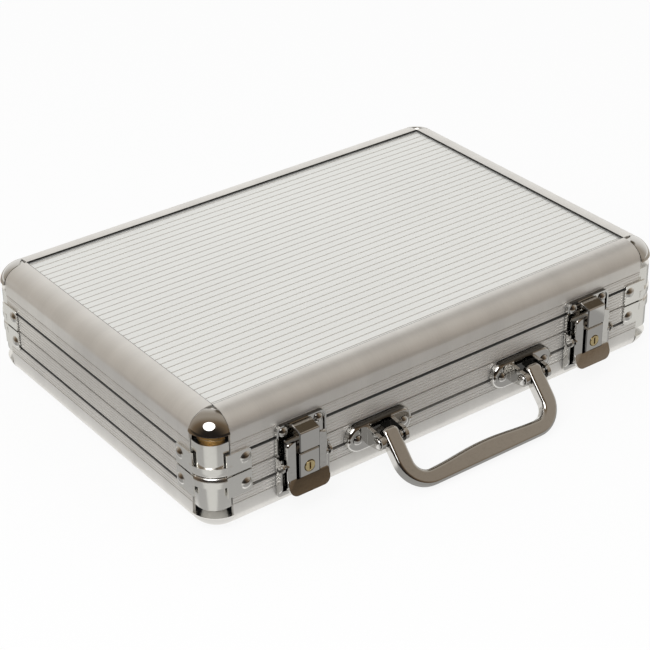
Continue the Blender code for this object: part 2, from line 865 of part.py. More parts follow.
def key_plug_shape():
    """The round plug with its keyway, about its own axis."""
    front = lock_face + key_stand
    back = key_back + seat_gap
    plug = rod_solid(key_radius, (0, 0, back), (0, 0, front))
    slot = box_solid((-keyway_width / 2, -keyway_length / 2, front - keyway_depth),
                     (keyway_width / 2, keyway_length / 2, front + overrun))
    return cut(plug, slot)


def make_latches():
    """Both latches, each with its own lever and key plug on their axes."""
    catch, plate, lever = catch_shape(), latch_base_shape(), lever_shape()
    lock, plug, rivet = lock_box_shape(), key_plug_shape(), rivet_shape(plate_thickness)
    for side, middle in (("left", -latch_offset), ("right", latch_offset)):
        face = (middle, -half_depth, split_level)
        pivot = (middle, -half_depth - pivot_stand, split_level - pivot_drop)
        keyhole = (middle, -half_depth, split_level + key_level)
        rocker = carrier(f"latch_rocker_{side}", in_case(*pivot), base)
        turning = carrier(f"key_turn_{side}", in_case(*keyhole), base)
        placed(f"latch_catch_{side}", catch, chrome, lid, face, X, Z)
        placed(f"latch_base_{side}", plate, chrome, base, face, X, Z)
        placed(f"latch_lever_{side}", lever, chrome, rocker, pivot, X, Z)
        placed(f"lock_box_{side}", lock, chrome, base, face, X, Z)
        placed(f"key_plug_{side}", plug, brass, turning, keyhole, X, Z)
        for end, way in (("outer", math.copysign(1, middle)), ("inner", -math.copysign(1, middle))):
            seat = (middle + way * catch_rivet_offset, -half_depth - plate_front - seat_gap,
                    split_level + catch_top - catch_rivet_drop)
            placed(f"catch_rivet_{side}_{end}", rivet, chrome, lid, seat, X, Z)


make_latches()


# Handle brackets, pins and handle

def bracket_shape():
    """A domed pill plate with two ears and rivet holes, centred on the handle's level."""
    half_w, half_h = bracket_width / 2, bracket_height / 2
    outline = rounded_rectangle((-half_w, -half_h), (half_w, half_h), (half_h,) * 4)
    plate = shifted(outline_solid(outline, bracket_thickness), 0, 0, seat_gap + bracket_thickness / 2)
    front = seat_gap + bracket_thickness
    edge_rounded(plate, bracket_edge, 2, lambda a, b: near(a.z, front) and near(b.z, front))
    tip = arc((handle_pivot_stand, 0), ear_tip_radius, -80, 80, 8)
    root = seat_gap + bracket_thickness / 2
    ear = [(root, -ear_root_height / 2), *tip, (root, ear_root_height / 2)]
    inner = ear_gap / 2
    hole = circle((handle_pivot_stand, 0), around(handle_pin_radius + pin_clearance))
    for low, high in ((-inner - bracket_ear, -inner), (inner, inner + bracket_ear)):
        wall = outline_solid(ear, bracket_ear, (hole,))
        turn = Matrix(((0, 0, 1, (low + high) / 2), (0, 1, 0, 0), (1, 0, 0, 0), (0, 0, 0, 1)))
        joined(plate, facing_out(moved(wall, turn)))
    for side in (-1, 1):
        middle = side * bracket_rivet_offset
        hole_rod = rod_solid(around(shank_radius + shank_clearance, 10), (middle, 0, -overrun),
                             (middle, 0, front + overrun), 10)
        cut(plate, hole_rod)
    return plate


def handle_pin_shape():
    """A pin with a domed head outside each ear."""
    ear_outer = ear_gap / 2 + bracket_ear
    head_face = ear_outer + seat_gap
    half_profile = [(0, head_face + pin_head_rise), (pin_head_radius / 2, head_face + pin_head_rise * 3 / 4),
                    (pin_head_radius, head_face), (handle_pin_radius, head_face)]
    profile = half_profile + [(r, -z) for r, z in reversed(half_profile)]
    pin = turned_solid(profile)
    return moved(pin, Matrix.Rotation(math.pi / 2, 4, "Y"))


def handle_outline():
    """The bail seen square on: x across, y from the pivot towards the grip."""
    outer_x = bracket_offset + arm_width / 2
    inner_x = bracket_offset - arm_width / 2
    end = handle_reach
    grip_inner = end - grip_width
    left_outer = arc((-outer_x + bend_radius, end - bend_radius), bend_radius, 90, 180, 8)
    right_outer = arc((outer_x - bend_radius, end - bend_radius), bend_radius, 0, 90, 8)
    left_inner = arc((-inner_x + inner_bend_radius, grip_inner - inner_bend_radius), inner_bend_radius, 180, 90, 6)
    right_inner = arc((inner_x - inner_bend_radius, grip_inner - inner_bend_radius), inner_bend_radius, 90, 0, 6)
    span = inner_x - inner_bend_radius
    steps = 10
    swell = []
    for i in range(1, steps):
        x = span * (2 * i / steps - 1)
        swell.append((x, grip_inner - grip_swell * (math.cos(math.pi * x / span) + 1) / 2))
    points = [(outer_x, -arm_nose), *right_outer, *left_outer, (-outer_x, -arm_nose), (-inner_x, -arm_nose)]
    return points + left_inner + swell + right_inner + [(inner_x, -arm_nose)]


def handle_shape():
    """The bail with rounded edges and a bored knuckle at each end."""
    bail = outline_solid(handle_outline(), handle_thickness)
    top = handle_thickness / 2
    edge_rounded(bail, handle_edge, 2, lambda a, b: near(abs(a.z), top) and near(a.z, b.z))
    for side in (-1, 1):
        middle = side * bracket_offset
        for radius, half in ((knuckle_radius, arm_width / 2 - seat_gap / 2), (knuckle_boss, ear_gap / 2 - seat_gap)):
            joined(bail, rod_solid(radius, (middle - half, 0, 0), (middle + half, 0, 0)))
        bore = rod_solid(around(handle_pin_radius + pin_clearance), (middle - ear_gap / 2, 0, 0),
                         (middle + ear_gap / 2, 0, 0))
        cut(bail, bore)
    return bail


def make_handle():
    """Brackets, their rivets and pins, and the handle lying at its rest angle."""
    bracket, pin, rivet = bracket_shape(), handle_pin_shape(), rivet_shape(bracket_thickness)
    for side, middle in (("left", -bracket_offset), ("right", bracket_offset)):
        placed(f"handle_bracket_{side}", bracket, chrome, base, (middle, -half_depth, handle_level), X, Z)
        pivot = (middle, -half_depth - handle_pivot_stand, handle_level)
        placed(f"handle_pin_{side}", pin, chrome, base, pivot, X, Z)
        for end, way in (("outer", math.copysign(1, middle)), ("inner", -math.copysign(1, middle))):
            seat = (middle + way * bracket_rivet_offset, -half_depth - seat_gap - bracket_thickness - seat_gap,
                    handle_level)
            placed(f"bracket_rivet_{side}_{end}", rivet, chrome, base, seat, X, Z)
    pivot = (0, -half_depth - handle_pivot_stand, handle_level)
    towards_grip = Vector((0, -math.sin(handle_angle), -math.cos(handle_angle)))
    placed("handle", handle_shape(), chrome, handle_swing, pivot, X, towards_grip)


make_handle()


# Back hinges

hinge_knuckles_share = (0, 1 / 3, 2 / 3, 1)


def hinge_leaf_shape(up, spans):
    """A leaf on the back face with fingers that run into knuckles over the given spans of its width."""
    half = hinge_width / 2
    clear = hinge_knuckle_radius + seat_gap
    root = hinge_knuckle_radius / 3
    comb = arc((half - leaf_round, leaf_height - leaf_round), leaf_round, 0, 90, CORNER_STEPS)
    comb += arc((leaf_round - half, leaf_height - leaf_round), leaf_round, 90, 180, CORNER_STEPS)
    comb.append((-half, clear + seat_gap))
    rolls = []
    for start, end in spans:
        x0 = -half + hinge_width * start + (seat_gap / 2 if start > 0 else 0)
        x1 = -half + hinge_width * end - (seat_gap / 2 if end < 1 else 0)
        comb += [(x0 + seat_gap, clear), (x0 + seat_gap, root), (x1 - seat_gap, root), (x1 - seat_gap, clear)]
        rolls.append(rod_solid(hinge_knuckle_radius, (x0, 0, hinge_stand), (x1, 0, hinge_stand)))
    comb.append((half, clear + seat_gap))
    leaf = outline_solid([(x, up * y) for x, y in comb], leaf_thickness)
    shifted(leaf, 0, 0, seat_gap + leaf_thickness / 2)
    bore = rod_solid(around(hinge_pin_radius + hinge_bore_clearance), (-half - overrun, 0, hinge_stand),
                     (half + overrun, 0, hinge_stand))
    return cut(joined(leaf, *rolls), bore)


def hinge_pin_shape():
    """The hinge pin with a small head at each end."""
    half = hinge_width / 2 + seat_gap
    side = [(0, half + hinge_pin_head_rise), (hinge_pin_head / 2, half + hinge_pin_head_rise),
            (hinge_pin_head, half), (hinge_pin_radius, half)]
    pin = turned_solid(side + [(r, -z) for r, z in reversed(side)])
    return moved(pin, Matrix.Rotation(math.pi / 2, 4, "Y"))


def make_hinges():
    """Both back hinges: a leaf on each shell and the pin between them."""
    first, second, third, fourth = hinge_knuckles_share
    base_leaf = hinge_leaf_shape(-1, ((first, second), (third, fourth)))
    lid_leaf = hinge_leaf_shape(1, ((second, third),))
    pin = hinge_pin_shape()
    for side, middle in (("left", -hinge_offset), ("right", hinge_offset)):
        face = (middle, half_depth, split_level)
        placed(f"hinge_base_leaf_{side}", base_leaf, chrome, base, face, -X, Z)
        placed(f"hinge_lid_leaf_{side}", lid_leaf, chrome, lid, face, -X, Z)
        axis = (middle, half_depth + hinge_stand, split_level)
        placed(f"hinge_pin_{side}", pin, chrome, base, axis, -X, Z)


make_hinges()


# Lid lining and pad

liner_top = board_under - seat_gap


def liner_shape():
    """A thin tub, open towards the base, from an open box given a wall."""
    a, b = half_length - liner_inset, half_depth - liner_inset
    tub = box_solid((-a, -b, liner_start), (a, b, liner_top))
    edge_rounded(tub, liner_round, CORNER_STEPS, lambda p, q: near(p.x, q.x) and near(p.y, q.y))
    edge_rounded(tub, liner_edge, 2, lambda p, q: near(p.z, liner_top) and near(q.z, liner_top))
    bm = bmesh.new()
    bm.from_mesh(tub.data)
    floor = [f for f in bm.faces if all(near(v.co.z, liner_start) for v in f.verts)]
    bmesh.ops.delete(bm, geom=floor, context="FACES")
    bm.to_mesh(tub.data)
    bm.free()
    wall = tub.modifiers.new("Solidify", "SOLIDIFY")
    wall.thickness = liner_wall
    wall.offset = -1
    wall.use_even_offset = True
    return welded(tub)


def pad_shape():
    """The foam pad in the lid's roof, slightly crowned towards the chips."""
    inset = liner_inset + liner_wall + pad_clearance
    a, b = half_length - inset, half_depth - inset
    top = liner_top - liner_wall - seat_gap
    bottom = top - pad_thickness
    pad = box_solid((-a, -b, bottom), (a, b, top))
    edge_rounded(pad, liner_round - liner_wall, CORNER_STEPS, lambda p, q: near(p.x, q.x) and near(p.y, q.y))
    edge_rounded(pad, pad_edge, 2, lambda p, q: near(p.z, bottom) and near(q.z, bottom))
    bm = bmesh.new()
    bm.from_mesh(pad.data)
    for axis, reach in ((X, a), (Y, b)):
        for share in (-1 / 2, 0, 1 / 2):
            bmesh.ops.bisect_plane(bm, geom=bm.verts[:] + bm.edges[:] + bm.faces[:], plane_co=axis * reach * share,
                                   plane_no=axis)
    for v in bm.verts:
        if near(v.co.z, bottom):
            v.co.z -= pad_crown * (1 - (v.co.x / a) ** 2) * (1 - (v.co.y / b) ** 2)
    bm.to_mesh(pad.data)
    bm.free()
    return pad


placed("lid_liner", liner_shape(), lining, lid, (0, 0, split_level))
placed("lid_pad", pad_shape(), foam, lid, (0, 0, split_level))


# Chip tray: rounded channels for the chips, wells for the cards and the dice

tray_bottom = split_level - board_under + seat_gap
tray_top = split_level - tray_top_drop
channel_radius = chip_radius + chip_clearance
channel_pitch = 2 * channel_radius + row_wall
channel_length = (chips_per_row + 1) * chip_thickness
channel_axis = tray_bottom + tray_floor + channel_radius
first_row = -half_length + tray_inset + row_margin + channel_radius
rows_end = first_row + channel_pitch * (chip_rows - 1) + channel_radius


def as_cutter(obj, name):
    """Keep a shape as a named cutter of the tray."""
    obj.name = name
    obj.parent = base
    obj.matrix_world = Matrix.Translation(parent_shift((0, 0, 0)))
    obj.hide_render = True
    obj.display_type = "WIRE"
    return obj


def tray_cutters():
    """The spaces in the tray: one U-shaped channel a row, two card wells and a dice well."""
    made = []
    mouth = tray_top + overrun
    for row in range(chip_rows):
        middle = first_row + channel_pitch * row
        section = arc((middle, channel_axis), channel_radius, 180, 360, 12)
        section += [(middle + channel_radius, mouth), (middle - channel_radius, mouth)]
        channel = outline_solid(section, channel_length)
        lay = Matrix(((1, 0, 0, 0), (0, 0, -1, 0), (0, 1, 0, 0), (0, 0, 0, 1)))
        made.append(as_cutter(moved(channel, lay), f"chip_channel_{row + 1}"))
    left = rows_end + well_gap
    for name, way in (("front", -1), ("back", 1)):
        y0, y1 = sorted((way * card_gap / 2, way * (card_gap / 2 + card_length)))
        well = box_solid((left, y0, tray_bottom + card_floor), (left + card_width, y1, mouth))
        middle = (y0 + y1) / 2
        thumb = rod_solid(thumb_radius, (left + card_width, middle, tray_bottom + card_floor + row_wall),
                          (left + card_width, middle, mouth))
        made.append(as_cutter(joined(well, thumb), f"card_well_{name}"))
    dice_left = left + card_width + thumb_radius + row_margin
    dice = box_solid((dice_left, -dice_length / 2, tray_bottom + dice_floor),
                     (dice_left + dice_width, dice_length / 2, mouth))
    made.append(as_cutter(dice, "dice_well"))
    return made


def make_tray():
    """The tray block, with a live Boolean for each space."""
    a, b = half_length - tray_inset, half_depth - tray_inset
    block = box_solid((-a, -b, tray_bottom), (a, b, tray_top))
    edge_rounded(block, tray_round, CORNER_STEPS, lambda p, q: near(p.x, q.x) and near(p.y, q.y))
    tray = placed("chip_tray", block, foam, base, (0, 0, 0))
    for cutter in tray_cutters():
        boolean = tray.modifiers.new(cutter.name, "BOOLEAN")
        boolean.operation = "DIFFERENCE"
        boolean.object = cutter
        boolean.solver = "EXACT"


make_tray()

for leftover in [o for o in cutters.objects if o.display_type != "WIRE"]:
    bpy.data.objects.remove(leftover)
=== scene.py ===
"""Poker chip case: the dressed model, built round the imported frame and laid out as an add-on.

Lengths are in metres. X runs along the front, the front faces -Y and Z points up.
Front hardware is drawn flat, with x along the case, y up from the split and z outwards,
and rails and corners with x and y inwards from the outer faces and the height from the split.
"""

import math
from contextlib import contextmanager

import bmesh
import bpy
from bpy.props import FloatProperty, FloatVectorProperty, PointerProperty
from mathutils import Matrix, Vector


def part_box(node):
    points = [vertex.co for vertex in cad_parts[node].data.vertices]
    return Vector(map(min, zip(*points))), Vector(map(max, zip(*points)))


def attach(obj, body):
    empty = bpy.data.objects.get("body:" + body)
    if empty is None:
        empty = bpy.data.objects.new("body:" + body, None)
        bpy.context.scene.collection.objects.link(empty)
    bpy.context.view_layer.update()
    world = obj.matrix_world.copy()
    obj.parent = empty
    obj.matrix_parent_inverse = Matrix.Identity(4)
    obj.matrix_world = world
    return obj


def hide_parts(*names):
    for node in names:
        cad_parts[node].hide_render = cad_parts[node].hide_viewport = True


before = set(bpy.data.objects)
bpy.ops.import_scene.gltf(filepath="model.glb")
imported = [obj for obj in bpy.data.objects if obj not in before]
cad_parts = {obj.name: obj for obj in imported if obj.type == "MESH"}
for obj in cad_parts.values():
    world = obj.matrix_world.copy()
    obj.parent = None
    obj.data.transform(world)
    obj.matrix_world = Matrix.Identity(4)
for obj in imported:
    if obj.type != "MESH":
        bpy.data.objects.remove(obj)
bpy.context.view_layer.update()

bl_info = {
    "name": "Poker Chip Case",
    "version": (1, 0, 0),
    "blender": (4, 5, 0),
    "location": "View3D > Sidebar > Chip Case",
    "description": "Builds a framed chip case with ball corners, key latches, a bail handle and a foam tray",
    "category": "Object",
}

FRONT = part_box("base_rail_front")[0].y
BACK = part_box("base_rail_back")[1].y
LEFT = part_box("base_rail_left")[0].x
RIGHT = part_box("base_rail_right")[1].x
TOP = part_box("lid_rail_front")[1].z
MIDDLE = (FRONT + BACK) / 2
SPLIT = TOP / 2
X, Y, Z = Vector((1, 0, 0)), Vector((0, 1, 0)), Vector((0, 0, 1))
WELD = 1e-6  # Points nearer than this are one point
ROUND = 48  # Steps round a whole turn
QUARTER = 12  # Steps round a quarter turn
ROLL = 6  # Steps over a rolled edge
BOARD = 0.0023  # Thickness of the boards behind the panels
SOFT = 2.4  # How much softer hooks and locks are than plates
PAD_GRID = (144, 96)  # Faces along and across the pad

# Profiles of the pins' heads, as shares of their radius and rise
HANDLE_PIN = ((0, 1), (0.55, 0.85), (0.9, 0.4), (1, 0))
HINGE_PIN = ((0, 1), (0.6, 1), (1, 0))

# Where a painted shade or a change of finish starts and where it is full, past the edge that it follows
GROOVE_SHADE = (-0.00005, 0.00005)
PANEL_SHADE = (-0.0003, -0.0001)
BRACKET_TOP = (-0.0014, -0.0008)
BRACKET_END = (0, 0.001)
CATCH_TOP = (-0.0005, -0.0003)
HOOK_SIDE = (-0.0005, -0.0004)
LOCK_SIDE = (0.0001, 0.0002)
EAR_SIDE = (0.0001, 0.0002)
HOOK_STAND = (0.004, 0.0045)
BALL_RIM = (0.0002, 0.0005)
RIVET_STAND = (0.0014, 0.0018)
NECK_EDGE = (0, 0.0002)
SHELLS = (-0.001, 0.001)  # From the base's shade to the lid's

# The studio that bright metal mirrors
ROOM_TONES = (("sky_brown", -0.95, -0.25), ("sky_warm", -0.40, 0.15), ("sky_bright", 0.25, 1.0))
SKY_WAY = (0.69, 0.72)
FLOOR_WAY = (0.6, 0.8)
FLOOR_REACH = 0.44
FLAG_WAY = (0.553, 0.272, 0.788)
FLAG_EDGE = (0.955, 0.985)


# Sizes and colours that a user would change

def length(text, default):
    """A length in metres."""
    return FloatProperty(description=text, default=default, min=0, precision=5,
                         subtype="DISTANCE", unit="LENGTH")


def angle(text, degrees):
    """An angle, written here in degrees."""
    return FloatProperty(description=text, default=math.radians(degrees), subtype="ANGLE", unit="ROTATION")


def number(text, default):
    """A plain number."""
    return FloatProperty(description=text, default=default, min=0)


def colour(text, default):
    """A colour in linear red, green and blue."""
    return FloatVectorProperty(description=text, default=default, size=3, min=0, max=1, subtype="COLOR")


def titled(group):
    """Name each property of a group after its key."""
    for key, field in group.__annotations__.items():
        field.keywords["name"] = key.replace("_", " ").capitalize()
    return group


@titled
class CaseSizes(bpy.types.PropertyGroup):
    """Shell sizes."""
    half_height: length("Height of one shell", SPLIT)
    seat_gap: length("Gap between pieces that touch", 0.0003)
    split_gap: length("Gap between the two shells", 0.0003)
    inset: length("Width of the rail seen from above", 0.0142)
    wall: length("Wall of the rail", 0.0016)
    lip_flat: length("Flat part of the rail's lip", 0.0014)
    lip_thickness: length("Thickness of the lip over the panel", 0.0009)
    shoulder_rise: length("Height of the rounded shoulder", 0.0094)
    slot_depth: length("Depth of the panel's slot", 0.0032)
    slot_height: length("Height of the panel's slot", 0.0013)
    jaw: length("Thickness of the rail under the panel", 0.0009)
    groove_start: length("Height of the deep groove above the split", 0.0096)
    groove_width: length("Width of the deep groove", 0.0018)
    groove_depth: length("Depth of the deep groove", 0.0022)
    rebate: length("Height of the step along the split", 0.0004)
    rebate_depth: length("Depth of the step along the split", 0.0010)
    line_start: length("Height of the thin line above the split", 0.0172)
    line_width: length("Width of the thin line", 0.0006)
    line_depth: length("Depth of the thin line", 0.0004)
    rib_pitch: length("Distance between the fine ribs", 0.0016)
    rib_width: length("Width of the cut between two ribs", 0.0005)
    rib_depth: length("Depth of the cut between two ribs", 0.00025)
    tongue_rise: length("Height of the base's tongue in the lid", 0.0024)
    tongue_thickness: length("Thickness of the tongue", 0.0012)
    tongue_root: length("Depth of the tongue's root below the split", 0.0050)


@titled
class CornerSizes(bpy.types.PropertyGroup):
    """Corner fitting sizes."""
    bore: length("Inner radius of the fitting", 0.0074)
    strap_height: length("Height of the band at the split", 0.0057)
    strap_stand: length("How far the band stands out", 0.0013)
    taper: length("How far the band draws in at the split", 0.0013)
    taper_rise: length("Height of the band's drawn-in edge", 0.0030)
    barrel_round: length("Radius of the barrel's upright edge", 0.0097)
    barrel_sink: length("Depth of the barrel's sides behind the rails' faces", 0.0008)
    barrel_top: length("Top of the barrel above the split", 0.0188)
    neck_inset: length("How far the neck's foot stands back", 0.0039)
    neck_lean: length("How far the neck leans in", 0.0017)
    neck_top: length("Top of the neck above the split", 0.0234)
    rim_turn: angle("Where the ball's curve begins, above its widest point", 8)
    ball_stand: length("How far the ball stands out", 0.0009)
    tip_width: length("Straight edge at the panel's corner", 0.0068)
    tip_drop: length("Step down at the panel's corner", 0.0010)
    ear_stand: length("How far the ears stand out", 0.0011)
    ear_thickness: length("Thickness of the ears", 0.0008)
    ear_reach: length("Reach of the ears along the rails", 0.0252)
    ear_height: length("Top of the ears above the split", 0.0124)
    ear_lap: length("How far the ears reach over the band", 0.0029)
    ear_foot: length("Foot of the ears above the split", 0.0005)
    ear_round: length("Corner radius of the ears", 0.0022)
    rivet_radius: length("Radius of the corner rivets", 0.0032)
    rivet_rise: length("Height of the corner rivets", 0.0014)
    rivet_reach: length("Rivet's distance from the outer face", 0.0219)
    rivet_height: length("Rivet's height above the split", 0.0075)
    easing: length("Rounding of the pressed edges", 0.00022)


@titled
class LatchSizes(bpy.types.PropertyGroup):
    """Latch sizes."""
    width: length("Width of the latch", 0.0300)
    plate: length("Thickness of the plates", 0.0010)
    catch_height: length("Height of the catch plate", 0.0170)
    catch_round: length("Corner radius of the catch plate", 0.0040)
    rim_width: length("Width of the catch plate's raised rim", 0.0011)
    rim_stand: length("Height of the catch plate's raised rim", 0.0008)
    rivet_radius: length("Radius of the rivets", 0.0027)
    rivet_rise: length("Height of the rivets", 0.0014)
    hook_width: length("Width of the hook", 0.0120)
    hook_wall: length("Thickness of the hook", 0.0012)
    hook_face: length("How far the hook's face stands out", 0.0090)
    hook_root_drop: length("Hook's root below the top edge", 0.0014)
    hook_slope: length("Fall of the hook's roof", 0.0022)
    hook_foot: length("Hook's foot above the split", 0.0026)
    hook_lip: length("Depth of the hook's lip", 0.0017)
    base_drop: length("Lower edge of the base plate", 0.0245)
    base_round: length("Corner radius of the base plate", 0.0020)
    flange: length("Thickness of the side flanges", 0.0012)
    flange_depth: length("Depth of the side flanges", 0.0044)
    flange_end: length("Flanges' distance from the lower edge", 0.0030)
    pivot_drop: length("Pivot below the split", 0.0050)
    pivot_stand: length("Pivot's distance from the face", 0.0046)
    pivot_radius: length("Radius of the trunnions", 0.0011)
    boss: length("Radius round the pivot", 0.0026)
    lever_width: length("Width of the lever", 0.0246)
    lever: length("Thickness of the lever", 0.0014)
    lever_face: length("How far the lever's face stands out", 0.0068)
    lever_top: length("Top of the lever above the split", 0.0085)
    lever_bottom: length("Lower edge of the lever", 0.0218)
    lever_round: length("Corner radius of the lever's tab", 0.0045)
    shoulder: length("Rounding at the top of the lever's arms", 0.0022)
    lever_edge: length("Rounding of the lever's outer edges", 0.0011)
    cheek: length("Thickness of the lever's cheeks", 0.0010)
    cheek_depth: length("Depth of the lever's cheeks", 0.0028)
    window: length("Width of the lever's window", 0.0144)
    tab: length("Height of the finger tab", 0.0082)
    bend_drop: length("The tab's bend below the split", 0.0128)
    tab_lean: angle("How far the tab leans out", 18.5)
    bar_rise: length("Bar's height above the split", 0.0060)
    bar_height: length("Height of the bar", 0.0018)
    bar_depth: length("Depth of the bar", 0.0006)
    lock_width: length("Width of the lock box", 0.0122)
    lock_face: length("How far the lock box stands out", 0.0084)
    lock_rise: length("Top of the lock box above the split", 0.0016)
    lock_height: length("Height of the lock box", 0.0140)
    key_radius: length("Radius of the key plug", 0.0029)
    key_drop: length("Key plug below the lock box's top", 0.0088)
    key_depth: length("Depth of the key plug", 0.0050)
    keyway_width: length("Width of the keyway", 0.0009)
    keyway_length: length("Length of the keyway", 0.0040)
    keyway_depth: length("Depth of the keyway", 0.0020)
    easing: length("Rounding of the pressed edges", 0.00025)


@titled
class HandleSizes(bpy.types.PropertyGroup):
    """Handle and bracket sizes."""
    width: length("Width of a bracket", 0.0410)
    height: length("Height of a bracket", 0.0160)
    level: length("Height of the handle's axis", 0.0245)
    thickness: length("Thickness of a bracket's plate", 0.0038)
    edge: length("Rounding of a bracket's plate", 0.0020)
    offset: length("Brackets' distance from the middle", 0.0480)
    ear_gap: length("Distance between the ears", 0.0128)
    ear: length("Thickness of an ear", 0.0022)
    ear_tip: length("Radius of an ear's end", 0.0040)
    ear_root: length("Height of an ear's root", 0.0108)
    pivot_stand: length("Axis's distance from the face", 0.0126)
    pin_radius: length("Radius of the pins", 0.0015)
    pin_head: length("Radius of a pin's head", 0.0030)
    pin_rise: length("Height of a pin's head", 0.0011)
    knuckle: length("Radius of the handle's knuckles", 0.0026)
    arm: length("Width of the handle's arms", 0.0096)
    arm_nose: length("How far the arms run past the axis", 0.0058)
    nose_round: length("Rounding of the arms' upper ends", 0.0034)
    reach: length("Grip's outer edge from the axis", 0.0306)
    depth: length("Thickness of the handle", 0.0070)
    handle_edge: length("Rounding of the handle", 0.0020)
    bend: length("Outer bend radius", 0.0180)
    inner_bend: length("Inner bend radius", 0.0070)
    grip: length("Width of the grip at its ends", 0.0088)
    swell: length("Swell of the grip in its middle", 0.0020)


@titled
class HingeSizes(bpy.types.PropertyGroup):
    """Back hinge sizes."""
    offset: length("Hinges' distance from the middle", 0.0850)
    width: length("Width of a hinge", 0.0300)
    leaf_height: length("Height of a leaf", 0.0130)
    leaf: length("Thickness of a leaf", 0.0012)
    leaf_round: length("Corner radius of a leaf", 0.0025)
    knuckle: length("Radius of the knuckles", 0.0026)
    pin: length("Radius of the pin", 0.0012)
    head: length("Radius of the pin's heads", 0.0020)
    head_rise: length("Height of the pin's heads", 0.0007)
    screw_offset: length("Screws' distance from the hinge's middle", 0.0090)
    screw_height: length("Screws' distance from the split", 0.0082)
    screw_radius: length("Radius of the screw heads", 0.0021)
    screw_rise: length("Height of the screw heads", 0.0007)


@titled
class LiningSizes(bpy.types.PropertyGroup):
    """Tray, liner and pad sizes."""
    tray_round: length("Corner radius of the tray", 0.0200)
    tray_floor: length("Least thickness under the chips", 0.0016)
    channel: length("Radius of a chip channel", 0.0202)
    channel_length: length("Length of a chip channel", 0.1734)
    row_margin: length("First channel's distance from the tray's side", 0.0060)
    row_wall: length("Wall between two channels", 0.0022)
    well_gap: length("Distance from the channels to the wells", 0.0085)
    card_width: length("Width of a card well", 0.0655)
    card_length: length("Length of a card well", 0.0905)
    card_floor: length("Thickness under the cards", 0.0050)
    card_gap: length("Distance between the card wells", 0.0060)
    thumb: length("Radius of a card well's thumb notch", 0.0110)
    dice_width: length("Width of the dice well", 0.0200)
    dice_length: length("Length of the dice well", 0.0840)
    dice_floor: length("Thickness under the dice", 0.0080)
    easing: length("Rounding of the cut foam edges", 0.0006)
    liner_wall: length("Thickness of the liner", 0.0022)
    pad_edge: length("Rounding of the pad", 0.0034)
    pad_pitch: length("Distance between the pad's bumps", 0.0200)
    pad_bump: length("Depth between the pad's bumps", 0.0014)


@titled
class Colours(bpy.types.PropertyGroup):
    """Base colours of the finishes."""
    alloy: colour("Satin anodised rails", (0.80, 0.785, 0.755))
    sheet: colour("Ribbed panel", (0.875, 0.885, 0.868))
    plate: colour("Bright plating", (0.63, 0.62, 0.60))
    satin_plate: colour("Satin plating of the corner fittings", (0.85, 0.84, 0.81))
    # Painted reflection: a golden tone painted on the lid's necks in place of a warm reflection
    worn_plate: colour("Golden undercoat at the balls' necks", (0.80, 0.50, 0.18))
    brass: colour("Key plugs", (0.86, 0.70, 0.38))
    board: colour("Backing boards", (0.085, 0.075, 0.065))
    felt: colour("Lid lining", (0.018, 0.018, 0.020))
    foam: colour("Tray and pad", (0.014, 0.014, 0.016))
    floor: colour("Studio floor", (0.86, 0.86, 0.86))
    sky_bright: colour("Studio wall behind the case", (1.0, 0.99, 0.97))
    sky_warm: colour("Studio wall beside the case", (0.42, 0.375, 0.32))
    sky_brown: colour("Studio wall beside the camera", (0.19, 0.135, 0.085))
    sky_dark: colour("Studio behind the camera", (0.022, 0.018, 0.015))
    sky_flag: colour("Brown card over the case", (0.10, 0.078, 0.052))
    sweep: colour("Studio's sweep along the case's sides", (0.42, 0.415, 0.405))
    sweep_corner: colour("Studio's sweep off the case's corners", (0.68, 0.675, 0.65))


@titled
class StageSettings(bpy.types.PropertyGroup):
    """Camera, light and floor."""
    focal: FloatProperty(description="Camera's focal length", default=106.77, min=1,
                         subtype="DISTANCE_CAMERA", unit="CAMERA")
    eye: FloatVectorProperty(description="Camera's place from the middle of the case's footprint",
                             default=(-0.55075, -0.74025, 0.56480), size=3,
                             subtype="TRANSLATION", unit="LENGTH")
    turn: FloatVectorProperty(description="Camera's rotation", size=3, subtype="EULER", unit="ROTATION",
                              default=[math.radians(a) for a in (59.36586, 0.73039, -36.96854)])
    floor_size: length("Side of the floor", 12.0)
    sweep_front: length("Reach of the pale sweep before the case", 0.088)
    sweep_side: length("Reach of the pale sweep beside the case", 0.092)
    sweep_edge: length("Width of the sweep's soft edge", 0.004)
    glow: number("Share of plain white in what the camera sees of the floor", 0.88)
    lamp_distance: length("Distance of the round lamp", 1.5)
    lamp_size: length("Width of the round lamp", 1.0)
    lamp_elevation: angle("Round lamp above the horizon", 45)
    lamp_azimuth: angle("Round lamp, from the front towards the right", -55)
    lamp_power: FloatProperty(description="Power of the round lamp", default=9.0, min=0,
                              subtype="POWER", unit="POWER")
    surround: number("Strength of the studio's soft light", 0.80)


GROUPS = {"case": CaseSizes, "corner": CornerSizes, "latch": LatchSizes, "handle": HandleSizes,
          "hinge": HingeSizes, "lining": LiningSizes, "colours": Colours, "stage": StageSettings}


def settings(name):
    """One of the scene's groups of sizes."""
    return getattr(bpy.context.scene, f"chip_case_{name}")


def tint(name):
    """One of the base colours."""
    return tuple(getattr(settings("colours"), name))


# Modelling, as by hand

def pick(*pieces):
    """Select only these pieces, the last one active."""
    if bpy.context.mode != "OBJECT":
        bpy.ops.object.mode_set(mode="OBJECT")
    bpy.ops.object.select_all(action="DESELECT")
    for piece in pieces:
        piece.select_set(True)
        bpy.context.view_layer.objects.active = piece


@contextmanager
def editing(piece):
    """Edit mode on one piece, with all of it selected."""
    pick(piece)
    bpy.ops.object.mode_set(mode="EDIT")
    bpy.ops.mesh.select_mode(type="VERT")
    bpy.ops.mesh.select_all(action="SELECT")
    yield
    bpy.ops.object.mode_set(mode="OBJECT")


